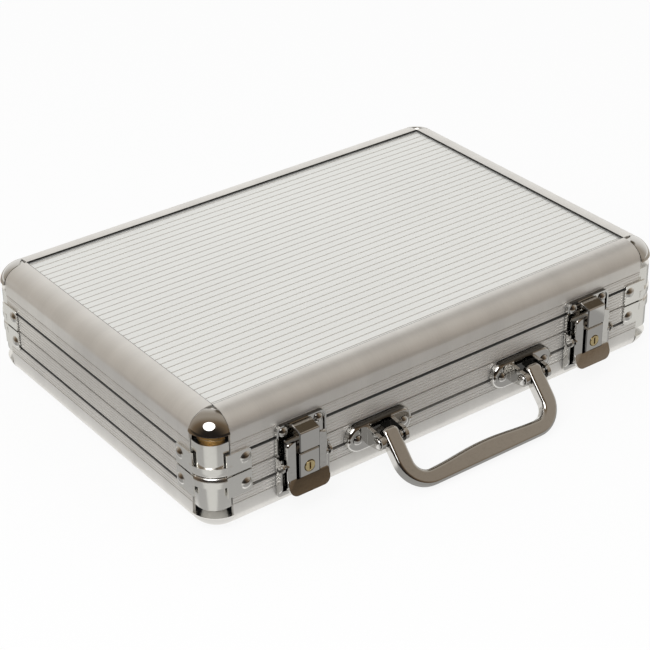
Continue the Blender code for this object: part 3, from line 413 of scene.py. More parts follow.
def select(piece, kind, test):
    """In edit mode, select the vertices, edges or faces whose points all pass a test."""
    bpy.ops.mesh.select_mode(type=kind)
    bpy.ops.mesh.select_all(action="DESELECT")
    mesh = bmesh.from_edit_mesh(piece.data)
    elements = {"VERT": mesh.verts, "EDGE": mesh.edges, "FACE": mesh.faces}[kind]
    for element in elements:
        points = [element.co] if kind == "VERT" else [v.co for v in element.verts]
        element.select_set(all(test(p) for p in points))
    mesh.select_flush_mode()
    bmesh.update_edit_mesh(piece.data)


def primitive(name, kind, **values):
    """Add one of Blender's primitives under a name."""
    pick()
    getattr(bpy.ops.mesh, f"primitive_{kind}_add")(**values)
    piece = bpy.context.object
    piece.name = piece.data.name = name
    return piece


def traced(name, points):
    """Draw a chain from point to point, starting with one vertex."""
    piece = primitive(name, "plane", size=1)
    points = [Vector(p) for p in points]
    with editing(piece):
        bpy.ops.mesh.merge(type="CENTER")
        bpy.ops.transform.translate(value=points[0])
        for before, after in zip(points, points[1:]):
            bpy.ops.mesh.extrude_vertices_move(TRANSFORM_OT_translate={"value": after - before})
    return piece


def sheet(name, outline):
    """Draw a closed outline in XY and fill it."""
    piece = traced(name, [(x, y, 0) for x, y in outline])
    with editing(piece):
        bpy.ops.mesh.edge_face_add()
    return piece


def raised(piece, low, high):
    """Extrude a flat sheet from one height to another."""
    with editing(piece):
        bpy.ops.transform.translate(value=(0, 0, low))
        bpy.ops.mesh.extrude_region_move(TRANSFORM_OT_translate={"value": (0, 0, high - low)})
        bpy.ops.mesh.select_all(action="SELECT")
        bpy.ops.mesh.normals_make_consistent(inside=False)
    return piece


def plate(name, outline, low, high):
    """A plate with an outline in XY between two heights."""
    return raised(sheet(name, outline), low, high)


def spun(piece, steps, turn):
    """Spin a drawn section about Z and close it."""
    with editing(piece):
        bpy.ops.mesh.spin(steps=steps, angle=turn, center=(0, 0, 0), axis=(0, 0, 1))
        bpy.ops.mesh.select_all(action="SELECT")
        bpy.ops.mesh.remove_doubles(threshold=WELD)
        bpy.ops.mesh.normals_make_consistent(inside=False)
    return piece


def turned(name, profile, steps=ROUND):
    """A round piece from a profile of (radius, height) that starts and ends on the axis."""
    return spun(traced(name, [(r, 0, z) for r, z in profile]), steps, math.tau)


def rod(name, radius, start, end, steps=ROUND):
    """A round bar between two points."""
    start, end = Vector(start), Vector(end)
    span = end - start
    turn = span.to_track_quat("Z", "Y").to_euler()
    piece = primitive(name, "cylinder", vertices=steps, radius=radius, depth=span.length,
                      location=(start + end) / 2, rotation=turn)
    return set_down(piece, Matrix())


def block(name, low, high):
    """A box between two corners, with its size in its mesh."""
    low, high = Vector(low), Vector(high)
    piece = primitive(name, "cube", size=1, location=(low + high) / 2)
    piece.scale = high - low
    return set_down(piece, Matrix())


def set_down(piece, place):
    """Carry a piece to its place and keep the place in its mesh."""
    pick(piece)
    piece.matrix_world = place @ piece.matrix_basis
    bpy.ops.object.transform_apply(location=True, rotation=True, scale=True)
    if place.determinant() < 0:
        with editing(piece):
            bpy.ops.mesh.normals_make_consistent(inside=False)
    return piece


def copied(piece, name):
    """A copy with its own mesh."""
    pick(piece)
    bpy.ops.object.duplicate()
    other = bpy.context.object
    other.name = other.data.name = name
    return other


def placed(shape, name, place):
    """A copy of a shape, set down under its own name."""
    return set_down(copied(shape, name), place)


def discard(*pieces):
    """Remove shapes that were only copied from."""
    for piece in pieces:
        bpy.data.objects.remove(piece)


def worked(piece, kind, **values):
    """Put one modifier on a piece and apply it."""
    pick(piece)
    bpy.ops.object.modifier_add(type=kind)
    modifier = piece.modifiers[-1]
    for name, value in values.items():
        setattr(modifier, name, value)
    bpy.ops.object.modifier_apply(modifier=modifier.name)
    return piece


def combined(piece, operation, *tools):
    """Join, cut or intersect with other pieces, which are used up."""
    for tool in tools:
        worked(piece, "BOOLEAN", operation=operation, solver="EXACT", object=tool)
        discard(tool)
    return piece


def joined(piece, *others):
    """Join pieces into one closed form."""
    return combined(piece, "UNION", *others)


def cut(piece, *tools):
    """Cut pieces out of another."""
    return combined(piece, "DIFFERENCE", *tools)


def eased(piece, width, segments=3, limit=40):
    """Round the sharp edges and shade the rest smooth."""
    if width:
        with editing(piece):
            bpy.ops.mesh.dissolve_limited(angle_limit=math.radians(0.5))
        worked(piece, "BEVEL", width=width, segments=segments, limit_method="ANGLE",
               angle_limit=math.radians(limit), use_clamp_overlap=True)
    return smooth(piece)


def smooth(piece, limit=30):
    """Shade smooth, but for the edges sharper than a limit, and keep the flats flat."""
    pick(piece)
    bpy.ops.object.shade_smooth_by_angle(angle=math.radians(limit))
    return worked(piece, "WEIGHTED_NORMAL", keep_sharp=True, weight=50)


def arc(centre, radius, start, end, steps=QUARTER):
    """Points along an arc, angles in degrees."""
    turns = [math.radians(start + (end - start) * i / steps) for i in range(steps + 1)]
    return [(centre[0] + radius * math.cos(t), centre[1] + radius * math.sin(t)) for t in turns]


def rounded(low, high, radii):
    """A rectangle with its own radius at lower left, lower right, upper right and upper left."""
    (x0, y0), (x1, y1) = low, high
    a, b, c, d = radii
    points = []
    for (x, y), radius, start in (((x0 + a, y0 + a), a, 180), ((x1 - b, y0 + b), b, 270),
                                  ((x1 - c, y1 - c), c, 0), ((x0 + d, y1 - d), d, 90)):
        points += arc((x, y), radius, start, start + 90) if radius else [(x, y)]
    return points


def dome(name, radius, rise, sink):
    """A low round head with a stub below its rim."""
    ball = (radius * radius + rise * rise) / (2 * rise)
    spread = math.asin(radius / ball)
    steps = QUARTER // 2
    profile = [(ball * math.sin(spread * i / steps), rise - ball + ball * math.cos(spread * i / steps))
               for i in range(steps + 1)]
    return turned(name, profile + [(radius, -sink), (0, -sink)], ROUND // 2)


def axes(place, x_axis, y_axis):
    """The place of a frame with these two axes."""
    turn = Matrix((x_axis, y_axis, x_axis.cross(y_axis))).transposed().to_4x4()
    return Matrix.Translation(place) @ turn


def front_face(x, height):
    """A frame on the front face: x along the case, y up and z outwards."""
    return axes((x, FRONT, height), X, Z)


def side_wall(outline, name, low, high):
    """A wall drawn as (outwards, up), with its thickness along x."""
    wall = plate(name, outline, 0, high - low)
    turn = Matrix(((0, 0, 1, low), (0, 1, 0, 0), (-1, 0, 0, 0), (0, 0, 0, 1)))
    flip = Matrix.Diagonal((1, 1, -1, 1))
    return set_down(wall, flip @ turn)


def dressed(piece, body, look, node):
    """Give a piece its finish and body, and let it stand for a CAD node."""
    piece.data.materials.clear()
    piece.data.materials.append(finish(look))
    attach(piece, body)
    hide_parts(node)


def headed_pin(radius, head, rise, end, profile):
    """A pin along X with a head at each end."""
    side = [(share * head, end + lift * rise) for share, lift in profile] + [(radius, end)]
    pin = turned("pin", side + [(r, -z) for r, z in reversed(side)], ROUND // 2)
    return smooth(set_down(pin, Matrix.Rotation(math.pi / 2, 4, "Y")))


# Finishes

class Sum:
    """A socket of a material, on which sums are written as expressions."""

    def __init__(self, finish, socket):
        self.finish = finish
        self.socket = socket

    def math(self, operation, *values, clamp=False):
        """One Math node on these values."""
        return self.finish.node("ShaderNodeMath", {"operation": operation, "use_clamp": clamp},
                                {i: v for i, v in enumerate(values)})

    def __add__(self, other):
        return self.math("ADD", self, other)

    def __sub__(self, other):
        return self.math("SUBTRACT", self, other)

    def __rsub__(self, other):
        return self.math("SUBTRACT", other, self)

    def __mul__(self, other):
        return self.math("MULTIPLY", self, other)

    def __abs__(self):
        return self.math("ABSOLUTE", self)

    __radd__ = __add__
    __rmul__ = __mul__

    def limited(self):
        """Kept between 0 and 1."""
        return self.math("ADD", self, 0, clamp=True)

    def above_zero(self):
        """The value, or 0 where it is less."""
        return self.math("MAXIMUM", self, 0)

    def between(self, low, high):
        """A smooth step from 0 at one value to 1 at another."""
        return self.finish.node("ShaderNodeMapRange", {"interpolation_type": "SMOOTHSTEP"},
                                {"Value": self, "From Min": low, "From Max": high})

    def past(self, edge, shade):
        """A smooth step that begins and ends at two distances past an edge."""
        return self.between(edge + shade[0], edge + shade[1])


class Finish:
    """A material built from nodes."""

    def __init__(self, name, tree=None):
        if tree is None:
            self.material = bpy.data.materials.new(name)
            self.material.use_nodes = True
            tree = self.material.node_tree
        self.tree = tree
        self.shader = tree.nodes.get("Principled BSDF")

    def add(self, kind, choices=None, values=None):
        """Add a node, make its choices first, then fill its sockets."""
        made = self.tree.nodes.new(kind)
        for name, value in (choices or {}).items():
            setattr(made, name, value)
        self.fill(made, values or {})
        return made

    def node(self, kind, choices=None, values=None, output=0):
        """Add a node and return one of its outputs."""
        return Sum(self, self.add(kind, choices, values).outputs[output])

    def fill(self, made, values):
        """Set or link the sockets of a node."""
        for name, value in values.items():
            if isinstance(value, Sum):
                self.tree.links.new(value.socket, made.inputs[name])
            elif isinstance(value, (tuple, list, Vector)) and made.inputs[name].type == "RGBA":
                made.inputs[name].default_value = (*value[:3], 1)
            else:
                made.inputs[name].default_value = value

    def place(self, scale=(1, 1, 1)):
        """Object coordinates, scaled along each axis."""
        where = self.node("ShaderNodeTexCoord", output="Object")
        return self.node("ShaderNodeMapping", {}, {"Vector": where, "Scale": scale})

    def parts(self, place):
        """The three coordinates of a place."""
        split = self.add("ShaderNodeSeparateXYZ", {}, {"Vector": place})
        return [Sum(self, output) for output in split.outputs]

    def rays(self):
        """Whether a ray is a mirrored one, the camera's own, or one that came through something."""
        path = self.add("ShaderNodeLightPath")
        return [Sum(self, path.outputs[f"Is {kind} Ray"]) for kind in ("Glossy", "Camera", "Transmission")]

    def noise(self, scale, detail=2.0, rough=0.5):
        """Noise with its own scale along each axis, per metre."""
        return self.node("ShaderNodeTexNoise", {}, {"Vector": self.place(scale), "Scale": 1.0,
                                                    "Detail": detail, "Roughness": rough})

    def mix(self, share, first, second):
        """A colour between two."""
        return self.node("ShaderNodeMix", {"data_type": "RGBA"}, {0: share, 6: first, 7: second}, 2)

    def bump(self, height, distance, strength=1.0):
        """A normal from a height."""
        return self.node("ShaderNodeBump", {}, {"Height": height, "Distance": distance,
                                                "Strength": strength})

    def set(self, **values):
        """Fill the shader's sockets; underscores stand for spaces."""
        self.fill(self.shader, {name.replace("_", " "): value for name, value in values.items()})
        return self.material


FINISHES = {}


def finish(look):
    """A finish by name, made when it is first asked for."""
    if look not in FINISHES:
        FINISHES[look] = LOOKS[look][0](look)
    return FINISHES[look]


def shaded(base, factor):
    """A colour darkened by a factor."""
    return tuple(c * factor for c in base)


def satin_alloy(name, along):
    """Anodised rail, finely brushed, with a faint unevenness, and painted shade in its groove and along the
    panel's edge.
    """
    c, base = settings("case"), tint("alloy")
    paint = Finish(name)
    x, y, z = paint.parts(paint.place())
    lengthwise = along == "x"
    streak = paint.noise((2600, 90, 90) if lengthwise else (90, 2600, 90), 3.0, 0.65)
    cloud = paint.noise((70, 14, 14) if lengthwise else (14, 70, 14))
    tone = (streak * 0.35 + cloud * 0.65).between(0.30, 0.70)
    # Painted shade: dark in the deep groove, darker on the lid, and dark from the panel's edge inwards
    off = abs(abs(z - SPLIT) - (c.groove_start + c.groove_width / 2))
    painted_shade = (c.groove_width / 2 - off).past(0, GROOVE_SHADE)
    if lengthwise:
        painted_shade = painted_shade * ((z - SPLIT).past(0, SHELLS) * 0.55 + 0.45)
        depth = (BACK - FRONT) / 2 - abs(y - MIDDLE)
    else:
        depth = RIGHT - abs(x)
    painted_shade = (painted_shade + depth.past(c.inset, PANEL_SHADE)).limited()
    unshaded = paint.mix(tone, shaded(base, 0.90), base)
    return paint.set(Base_Color=paint.mix(painted_shade, unshaded, shaded(base, 0.06)), Metallic=0.82,
                     Roughness=0.36 + streak * 0.10, Normal=paint.bump(streak, 0.00002, 0.35))


def ribbed_sheet(name):
    """Off-white anodised sheet with a fine grain and a faint cloudy tone."""
    base = tint("sheet")
    paint = Finish(name)
    grain = paint.noise((5200, 900, 900), 2.0, 0.6)
    cloud = paint.noise((9, 12, 9), 2.0, 0.5)
    tone = (grain * 0.4 + cloud * 0.6).between(0.25, 0.75)
    return paint.set(Base_Color=paint.mix(tone, shaded(base, 0.95), base), Metallic=0.75,
                     Roughness=0.34 + grain * 0.10, Normal=paint.bump(grain, 0.00001, 0.3))


def plating(name):
    """Plating with the faintest ripple, and the smears on it."""
    paint = Finish(name)
    paint.set(Metallic=1.0, Normal=paint.bump(paint.noise((160, 160, 160)), 0.0002, 0.12))
    return paint, paint.noise((420, 420, 900), 4.0, 0.6).between(0.45, 0.75)


def bright_plate(name):
    """Bright plating."""
    base = tint("plate")
    paint, smear = plating(name)
    return paint.set(Base_Color=paint.mix(smear, base, shaded(base, 0.93)), Roughness=0.06 + smear * 0.07)


def shaded_plate(name):
    """Plating of catches, locks and brackets, with painted shade on upper edges, upright edges and between the
    ears.
    """
    c, h, latch, base = settings("case"), settings("handle"), settings("latch"), tint("plate")
    paint, smear = plating(name)
    x, y, z = paint.parts(paint.place())
    catch_top = SPLIT + c.split_gap / 2 + c.seat_gap + latch.catch_height
    bracket_top = h.level + h.height / 2
    across = abs(abs(x) - h.offset)
    # Painted shade: dark bands on the brackets' and catch plates' top edges, on the hook's and lock's upright
    # sides, and between the brackets' ears
    edge = z.past(bracket_top, BRACKET_TOP) * (1 - z.between(bracket_top, SPLIT))
    edge = edge * (1 - across.past(h.width / 2, BRACKET_END)) + z.past(catch_top, CATCH_TOP)
    low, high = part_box("latch_catch_right")
    side = abs(abs(x) - (low.x + high.x) / 2)
    upright = side.past(latch.hook_width / 2, HOOK_SIDE) * (1 - side.past(latch.lock_width / 2, LOCK_SIDE))
    edge = edge + upright * (FRONT - y).past(0, HOOK_STAND) * 0.8
    dull = (edge + 1 - across.past(h.ear_gap / 2, EAR_SIDE)).limited()
    return paint.set(Base_Color=paint.mix(dull, base, shaded(base, 0.2)), Roughness=0.06 + smear * 0.07)


def corner_plate(name):
    """Plating that is bright on balls and rivets, satin below, with a painted golden reflection on the lid's
    necks.
    """
    c = settings("corner")
    paint, smear = plating(name)
    x, y, z = paint.parts(paint.place())
    height = abs(z - SPLIT)
    stand = paint.node("ShaderNodeMath", {"operation": "MAXIMUM"},
                       {0: abs(x) - RIGHT, 1: abs(y - MIDDLE) - (BACK - FRONT) / 2})
    bright = (height.past(c.neck_top, BALL_RIM) + stand.past(0, RIVET_STAND)).limited()
    neck = (c.neck_top - c.barrel_top) / 2 - abs(height - (c.barrel_top + c.neck_top) / 2)
    neck = neck.past(0, NECK_EDGE)
    # Painted reflection: the lid's necks are coloured gold in place of a warm reflection
    painted_reflection = neck * (z - SPLIT).between(0, SHELLS[1])
    tone = paint.mix(bright * (1 - neck), tint("satin_plate"), tint("plate"))
    return paint.set(Base_Color=paint.mix(painted_reflection, tone, tint("worn_plate")), Metallic=1 - (neck - painted_reflection) * 0.7,
                     Roughness=(1 - bright) * 0.14 + neck * 0.25 + smear * 0.06 + 0.06)


def lock_brass(name):
    """Turned brass, brushed in rings."""
    base = tint("brass")
    paint = Finish(name)
    scratch = paint.noise((2600, 2600, 2600), 3.0, 0.6)
    return paint.set(Base_Color=paint.mix(scratch, shaded(base, 0.7), base), Metallic=1.0,
                     Roughness=0.18 + scratch * 0.15, Normal=paint.bump(scratch, 0.00002, 0.4))


def dark_board(name):
    """Pressed board with a short grain."""
    base = tint("board")
    paint = Finish(name)
    grain = paint.noise((300, 1800, 300), 4.0, 0.6)
    return paint.set(Base_Color=paint.mix(grain, shaded(base, 0.6), base), Roughness=0.7 + grain * 0.2,
                     Normal=paint.bump(grain, 0.0001, 0.4))


def felt_lining(name):
    """Short-haired felt."""
    base = tint("felt")
    paint = Finish(name)
    hair = paint.noise((2200, 2200, 2200), 4.0, 0.7)
    cloud = paint.noise((60, 60, 60), 2.0, 0.5)
    tone = (hair * 0.7 + cloud * 0.3).between(0.3, 0.7)
    return paint.set(Base_Color=paint.mix(tone, shaded(base, 0.5), shaded(base, 1.8)), Roughness=0.95,
                     Sheen_Weight=0.25, Sheen_Roughness=0.5, Normal=paint.bump(hair, 0.0003, 0.6))


def cut_foam(name):
    """Closed-cell foam: fine pores and a slight bloom."""
    base = tint("foam")
    paint = Finish(name)
    cells = paint.node("ShaderNodeTexVoronoi", {"feature": "F1"}, {"Vector": paint.place(), "Scale": 1400.0})
    cloud = paint.noise((120, 120, 120), 3.0, 0.6)
    tone = (cells * 0.5 + cloud * 0.6).between(0.2, 0.8)
    return paint.set(Base_Color=paint.mix(tone, shaded(base, 0.7), shaded(base, 1.9)), Roughness=0.88,
                     Sheen_Weight=0.15, Sheen_Roughness=0.6, Normal=paint.bump(cells, 0.0004, 0.5))


# Each finish with the record's slot of the pieces that wear it; CAD nodes keep their own
LOOKS = {
    "satin_alloy_x": (lambda name: satin_alloy(name, "x"), "anodised_aluminium"),
    "satin_alloy_y": (lambda name: satin_alloy(name, "y"), "anodised_aluminium"),
    "bright_plate": (bright_plate, "chrome_plate"),
    "shaded_plate": (shaded_plate, "chrome_plate"),
    "corner_plate": (corner_plate, "chrome_plate"),
    "lock_brass": (lock_brass, "brass"),
    "felt_lining": (felt_lining, "black_lining"),
    "cut_foam": (cut_foam, "black_foam"),
    "ribbed_sheet": (ribbed_sheet, None),
    "dark_board": (dark_board, None),
}


# Rails

def shoulder(run, rise, steps, end=math.pi / 2):
    """Points of the rail's rounded shoulder, from the wall to the lip."""
    s = settings("case")
    start = s.half_height - s.shoulder_rise
    middle = s.inset - s.lip_flat
    return [(middle - run * math.cos(end * i / steps), start + rise * math.sin(end * i / steps))
            for i in range(steps + 1)]


def fine_ribs(low, high):
    """Small V cuts at an even pitch between two heights."""
    s = settings("case")
    count = max(1, int((high - low) / s.rib_pitch))
    pitch = (high - low) / count
    points = []
    for i in range(count):
        at = low + pitch * (i + 0.5)
        points += [(0, at - s.rib_width / 2), (s.rib_depth, at - s.rib_width / 6),
                   (s.rib_depth, at + s.rib_width / 6), (0, at + s.rib_width / 2)]
    return points


def square_cut(start, width, depth):
    """Points of a square cut into the wall."""
    return [(0, start), (depth, start), (depth, start + width), (0, start + width)]


def rail_section(with_tongue):
    """Section of a rail as (inset, height)."""
    s = settings("case")
    edge = s.split_gap / 2
    step = edge + s.rebate
    groove_end = s.groove_start + s.groove_width
    slot_top = s.half_height - s.lip_thickness
    slot_bottom = slot_top - s.slot_height
    slot_inset = s.inset - s.slot_depth
    under = slot_bottom - s.jaw
    run, rise = s.inset - s.lip_flat - s.wall, s.shoulder_rise - s.wall
    turn = math.asin((under - s.half_height + s.shoulder_rise) / rise)
    points = [(s.rebate_depth, edge), (s.rebate_depth, step), (0, step), *fine_ribs(step, s.groove_start)]
    points += square_cut(s.groove_start, s.groove_width, s.groove_depth)
    points += fine_ribs(groove_end, s.line_start)
    points += square_cut(s.line_start, s.line_width, s.line_depth)
    points += shoulder(s.inset - s.lip_flat, s.shoulder_rise, 2 * QUARTER)
    points += [(s.inset, s.half_height), (s.inset, slot_top), (slot_inset, slot_top)]
    points += [(slot_inset, slot_bottom), (s.inset, slot_bottom), (s.inset, under)]
    points += reversed(shoulder(run, rise, QUARTER, turn))
    backing, low, high = s.groove_depth + s.wall, s.groove_start - s.wall, groove_end + s.wall
    points += [(s.wall, high), (backing, high), (backing, low), (s.wall, low)]
    if not with_tongue:
        return points + [(s.wall, edge)]
    outer = s.wall + s.seat_gap
    inner = outer + s.tongue_thickness
    return points + [(s.wall, s.tongue_root), (inner, s.tongue_root), (inner, -s.tongue_rise),
                     (outer, -s.tongue_rise), (outer, edge)]


def make_rails():
    """The four rails of each shell."""
    s = settings("case")
    across, deep = (RIGHT - LEFT) / 2 - s.inset, (BACK - FRONT) / 2 - s.inset
    sides = {"front": (Y, (0, FRONT, SPLIT), across, "x"),
             "back": (-Y, (0, BACK, SPLIT), across, "x"),
             "left": (X, (LEFT, MIDDLE, SPLIT), deep, "y"),
             "right": (-X, (RIGHT, MIDDLE, SPLIT), deep, "y")}
    for shell, up in (("lid", Z), ("base", -Z)):
        section = sheet("rail_section", rail_section(shell == "base"))
        for side, (inward, place, half, grain) in sides.items():
            rail = raised(copied(section, f"satin_{shell}_rail_{side}"), -half, half)
            set_down(smooth(rail, 25), axes(place, inward, up))
            dressed(rail, shell, f"satin_alloy_{grain}", f"{shell}_rail_{side}")
        discard(section)


# Corner fittings

def corner_section():
    """Section of a fitting as (distance from its upright axis, height)."""
    s, c = settings("case"), settings("corner")
    edge = s.split_gap / 2
    centre = s.inset - s.seat_gap
    roof = s.half_height - s.lip_thickness - s.slot_height - s.jaw - s.seat_gap - BOARD
    strap, neck, ball = centre + c.strap_stand, centre - c.neck_inset, centre + c.ball_stand
    points = [(c.bore, edge)]
    for i in range(QUARTER // 2 + 1):
        turn = math.pi / 2 * i / (QUARTER // 2)
        points.append((strap - c.taper * (1 - math.sin(turn)), edge + c.taper_rise * (1 - math.cos(turn))))
    points += [(strap, c.strap_height), (neck, c.strap_height), (neck, c.barrel_top)]
    points.append((neck - c.neck_lean, c.neck_top))
    steps, low = 2 * QUARTER, math.sin(c.rim_turn)
    for i in range(steps + 1):
        turn = c.rim_turn + (math.pi / 2 - c.rim_turn) * i / steps
        rise = (math.sin(turn) - low) / (1 - low)
        points.append((s.lip_flat + (ball - s.lip_flat) * math.cos(turn),
                       c.neck_top + (s.half_height - c.neck_top) * rise))
    return points + [(0, s.half_height), (0, roof), (c.bore, roof)]


def corner_ear():
    """One ear of a fitting, with its rivet's head."""
    s, c = settings("case"), settings("corner")
    root = s.inset - s.seat_gap - c.ear_lap
    outline = rounded((root, c.ear_foot), (c.ear_reach, c.ear_height), (0, 0, c.ear_round, 0))
    ear = plate("ear", outline, c.ear_stand - c.ear_thickness, c.ear_stand)
    head = dome("rivet", c.rivet_radius, c.rivet_rise, c.ear_thickness / 2)
    set_down(head, Matrix.Translation((c.rivet_reach, c.rivet_height, c.ear_stand)))
    upright = axes((0, 0, 0), X, Z)
    return set_down(joined(ear, head), upright)


def corner_barrel():
    """The block between band and neck, with a tighter upright edge."""
    s, c = settings("case"), settings("corner")
    centre = s.inset - s.seat_gap
    end, middle = centre - s.seat_gap / 2, c.barrel_sink + c.barrel_round
    inner = (c.bore + centre - c.neck_inset) / 2
    outline = [(end, c.barrel_sink), *arc((middle, middle), c.barrel_round, 270, 180, 2 * QUARTER)]
    outline += [(c.barrel_sink, end), *arc((centre, centre), inner, 181, 269)]
    return plate("barrel", outline, c.strap_height - c.strap_stand, c.barrel_top)


def corner_fitting():
    """One whole fitting in the corner of x and y."""
    s, c = settings("case"), settings("corner")
    centre = s.inset - s.seat_gap
    body = traced("fitting", [(-r, 0, h) for r, h in corner_section()])
    with editing(body):
        bpy.ops.mesh.edge_face_add()
    spun(body, 2 * QUARTER, math.pi / 2)
    if min(v.co.y for v in body.data.vertices) > -c.bore:  # The spin went into the next quarter
        set_down(body, Matrix.Rotation(math.pi / 2, 4, "Z"))
    set_down(body, Matrix.Translation((centre, centre, 0)))
    blade = block("blade", (-s.inset, -c.tip_width / 2, s.half_height - c.tip_drop),
                  (s.inset, s.inset, SPLIT * 2))
    diagonal = Matrix.Translation((centre, centre, 0)) @ Matrix.Rotation(-math.pi / 4, 4, "Z")
    cut(body, set_down(blade, diagonal))
    swap = Matrix(((0, 1, 0, 0), (1, 0, 0, 0), (0, 0, 1, 0), (0, 0, 0, 1)))
    joined(body, corner_barrel(), corner_ear(), set_down(corner_ear(), swap))
    return eased(body, c.easing, 2)


def make_corners():
    """The eight fittings, each turned to its own corner."""
    fitting = corner_fitting()
    lid = {"front_left": (X, Y), "front_right": (Y, -X), "back_right": (-X, -Y), "back_left": (-Y, X)}
    base = {where: (second, first) for where, (first, second) in lid.items()}
    for shell, corners in (("lid", lid), ("base", base)):
        for where, (x_axis, y_axis) in corners.items():
            inward = x_axis + y_axis
            place = (LEFT if inward.x > 0 else RIGHT, FRONT if inward.y > 0 else BACK, SPLIT)
            piece = placed(fitting, f"bright_{shell}_corner_{where}", axes(place, x_axis, y_axis))
            dressed(piece, shell, "corner_plate", f"{shell}_corner_{where}")
    discard(fitting)


# Latches

def catch_plate():
    """The rimmed plate with its hook, on the lid."""
    s, h = settings("case"), settings("latch")
    back, front = s.seat_gap, s.seat_gap + h.plate
    low = s.split_gap / 2 + s.seat_gap
    top, half = low + h.catch_height, h.width / 2
    catch = plate("catch", rounded((-half, low), (half, top), (0, 0, h.catch_round, h.catch_round)),
                  back, front + h.rim_stand)
    inner, inner_round = half - h.rim_width, h.catch_round - h.rim_width
    pocket = plate("pocket", rounded((-inner, low - h.plate), (inner, top - h.rim_width),
                                     (0, 0, inner_round, inner_round)), front, 2 * front + h.rim_stand)
    cut(catch, pocket)
    foot = s.split_gap / 2 + h.hook_foot
    reach = h.hook_face - h.hook_wall
    roof = top - h.hook_root_drop
    root = front - h.plate / 2
    hook = [(root, roof), (h.hook_face, roof - h.hook_slope), (h.hook_face, foot)]
    hook += [(reach - h.hook_lip, foot), (reach - h.hook_lip, foot + h.hook_wall), (reach, foot + h.hook_wall)]
    hook += [(reach, roof - h.hook_slope - h.hook_wall), (root, roof - h.hook_wall)]
    joined(catch, eased(side_wall(hook, "hook", -h.hook_width / 2, h.hook_width / 2), h.easing * SOFT, 4))
    return eased(catch, h.easing, 3)


def latch_base():
    """The plate with two flanges, on the base."""
    s, h = settings("case"), settings("latch")
    back, front = s.seat_gap, s.seat_gap + h.plate
    top, half = -s.split_gap / 2 - s.seat_gap, h.width / 2
    outline = rounded((-half, -h.base_drop), (half, top), (h.base_round, h.base_round, 0, 0))
    body = plate("latch_base", outline, back, front)
    low, high = -h.base_drop + h.flange_end, top - s.seat_gap
    root = back + h.plate / 3
    boss = arc((h.pivot_stand, -h.pivot_drop), h.boss, -90, 90)
    wall = [(root, low), (h.flange_depth / 2, low), (h.flange_depth, low + h.flange_end)]
    wall += [(h.flange_depth, -h.pivot_drop - h.boss), *boss, (h.flange_depth, high), (root, high)]
    for x in (-half, half - h.flange):
        joined(body, side_wall(wall, "flange", x, x + h.flange))
    bore = rod("bore", h.pivot_radius + s.seat_gap / 2, (-half - h.plate, -h.pivot_drop, h.pivot_stand),
               (half + h.plate, -h.pivot_drop, h.pivot_stand))
    cut(body, bore)
    return eased(body, h.easing, 2)


def latch_lever():
    """The rocking lever with its window, cheeks, trunnions and bar."""
    s, h = settings("case"), settings("latch")
    half, window = h.lever_width / 2, h.window / 2
    top, bottom, sill = h.lever_top, -h.lever_bottom, h.tab - h.lever_bottom
    outline = arc((h.lever_round - half, bottom + h.lever_round), h.lever_round, 180, 270)
    outline += arc((half - h.lever_round, bottom + h.lever_round), h.lever_round, 270, 360)
    outline += arc((half - h.shoulder, top - h.shoulder), h.shoulder, 0, 90)
    outline += [(window, top), (window, sill), (-window, sill), (-window, top)]
    outline += arc((h.shoulder - half, top - h.shoulder), h.shoulder, 90, 180)
    back = h.lever_face - h.lever
    lever = plate("lever", outline, back, h.lever_face)
    with editing(lever):
        bpy.ops.mesh.bisect(plane_co=(0, -h.bend_drop, 0), plane_no=(0, 1, 0))
        select(lever, "EDGE", lambda p: p.z > h.lever_face - WELD and abs(p.x) > window + WELD
               and p.y > -h.bend_drop - WELD)
        bpy.ops.mesh.bevel(offset=h.lever_edge, segments=8, affect="EDGES", clamp_overlap=False)
    lap = h.lever / 2
    bar = block("bar", (h.cheek - half, h.bar_rise - h.bar_height / 2, back - h.bar_depth),
                (half - h.cheek, h.bar_rise + h.bar_height / 2, back + lap))
    joined(lever, bar)
    for side in (-1, 1):
        inner, outer = sorted((side * (half - h.cheek), side * half))
        cheek = block("cheek", (inner, bottom + h.lever_round, back - h.cheek_depth),
                      (outer, -h.cheek, back + lap))
        level = -h.pivot_drop
        boss = rod("boss", h.boss - s.seat_gap / 3, (inner, level, h.pivot_stand),
                   (outer, level, h.pivot_stand))
        pin = rod("pin", h.pivot_radius, ((inner + outer) / 2, level, h.pivot_stand),
                  (side * h.width / 2, level, h.pivot_stand))
        joined(lever, cheek, boss, pin)
    with editing(lever):
        bpy.ops.mesh.bisect(plane_co=(0, -h.bend_drop, 0), plane_no=(0, 1, 0))
        select(lever, "VERT", lambda p: p.y < -h.bend_drop - 10 * WELD)
        bpy.ops.transform.rotate(value=h.tab_lean, orient_axis="X", orient_type="GLOBAL",
                                 center_override=(0, -h.bend_drop, h.lever_face))
    return smooth(eased(lever, h.easing, 2), 14)


def lock_box():
    """The lock's housing with the plug's round hole."""
    s, h = settings("case"), settings("latch")
    half, top = h.lock_width / 2, h.lock_rise
    box = block("lock", (-half, top - h.lock_height, s.seat_gap * 2 + h.plate), (half, top, h.lock_face))
    level = top - h.key_drop
    hole = rod("hole", h.key_radius + s.seat_gap / 2, (0, level, h.lock_face - h.key_depth),
               (0, level, h.lock_face + h.plate))
    return eased(cut(box, hole), h.easing * SOFT, 4)


def key_plug():
    """The turning plug with its keyway."""
    s, h = settings("case"), settings("latch")
    level = h.lock_rise - h.key_drop
    front = h.lock_face + s.seat_gap
    plug = rod("plug", h.key_radius, (0, level, h.lock_face - h.key_depth + s.seat_gap), (0, level, front))
    slot = block("slot", (-h.keyway_width / 2, level - h.keyway_length / 2, front - h.keyway_depth),
                 (h.keyway_width / 2, level + h.keyway_length / 2, front + h.plate))
    return eased(cut(plug, slot), h.easing, 2)


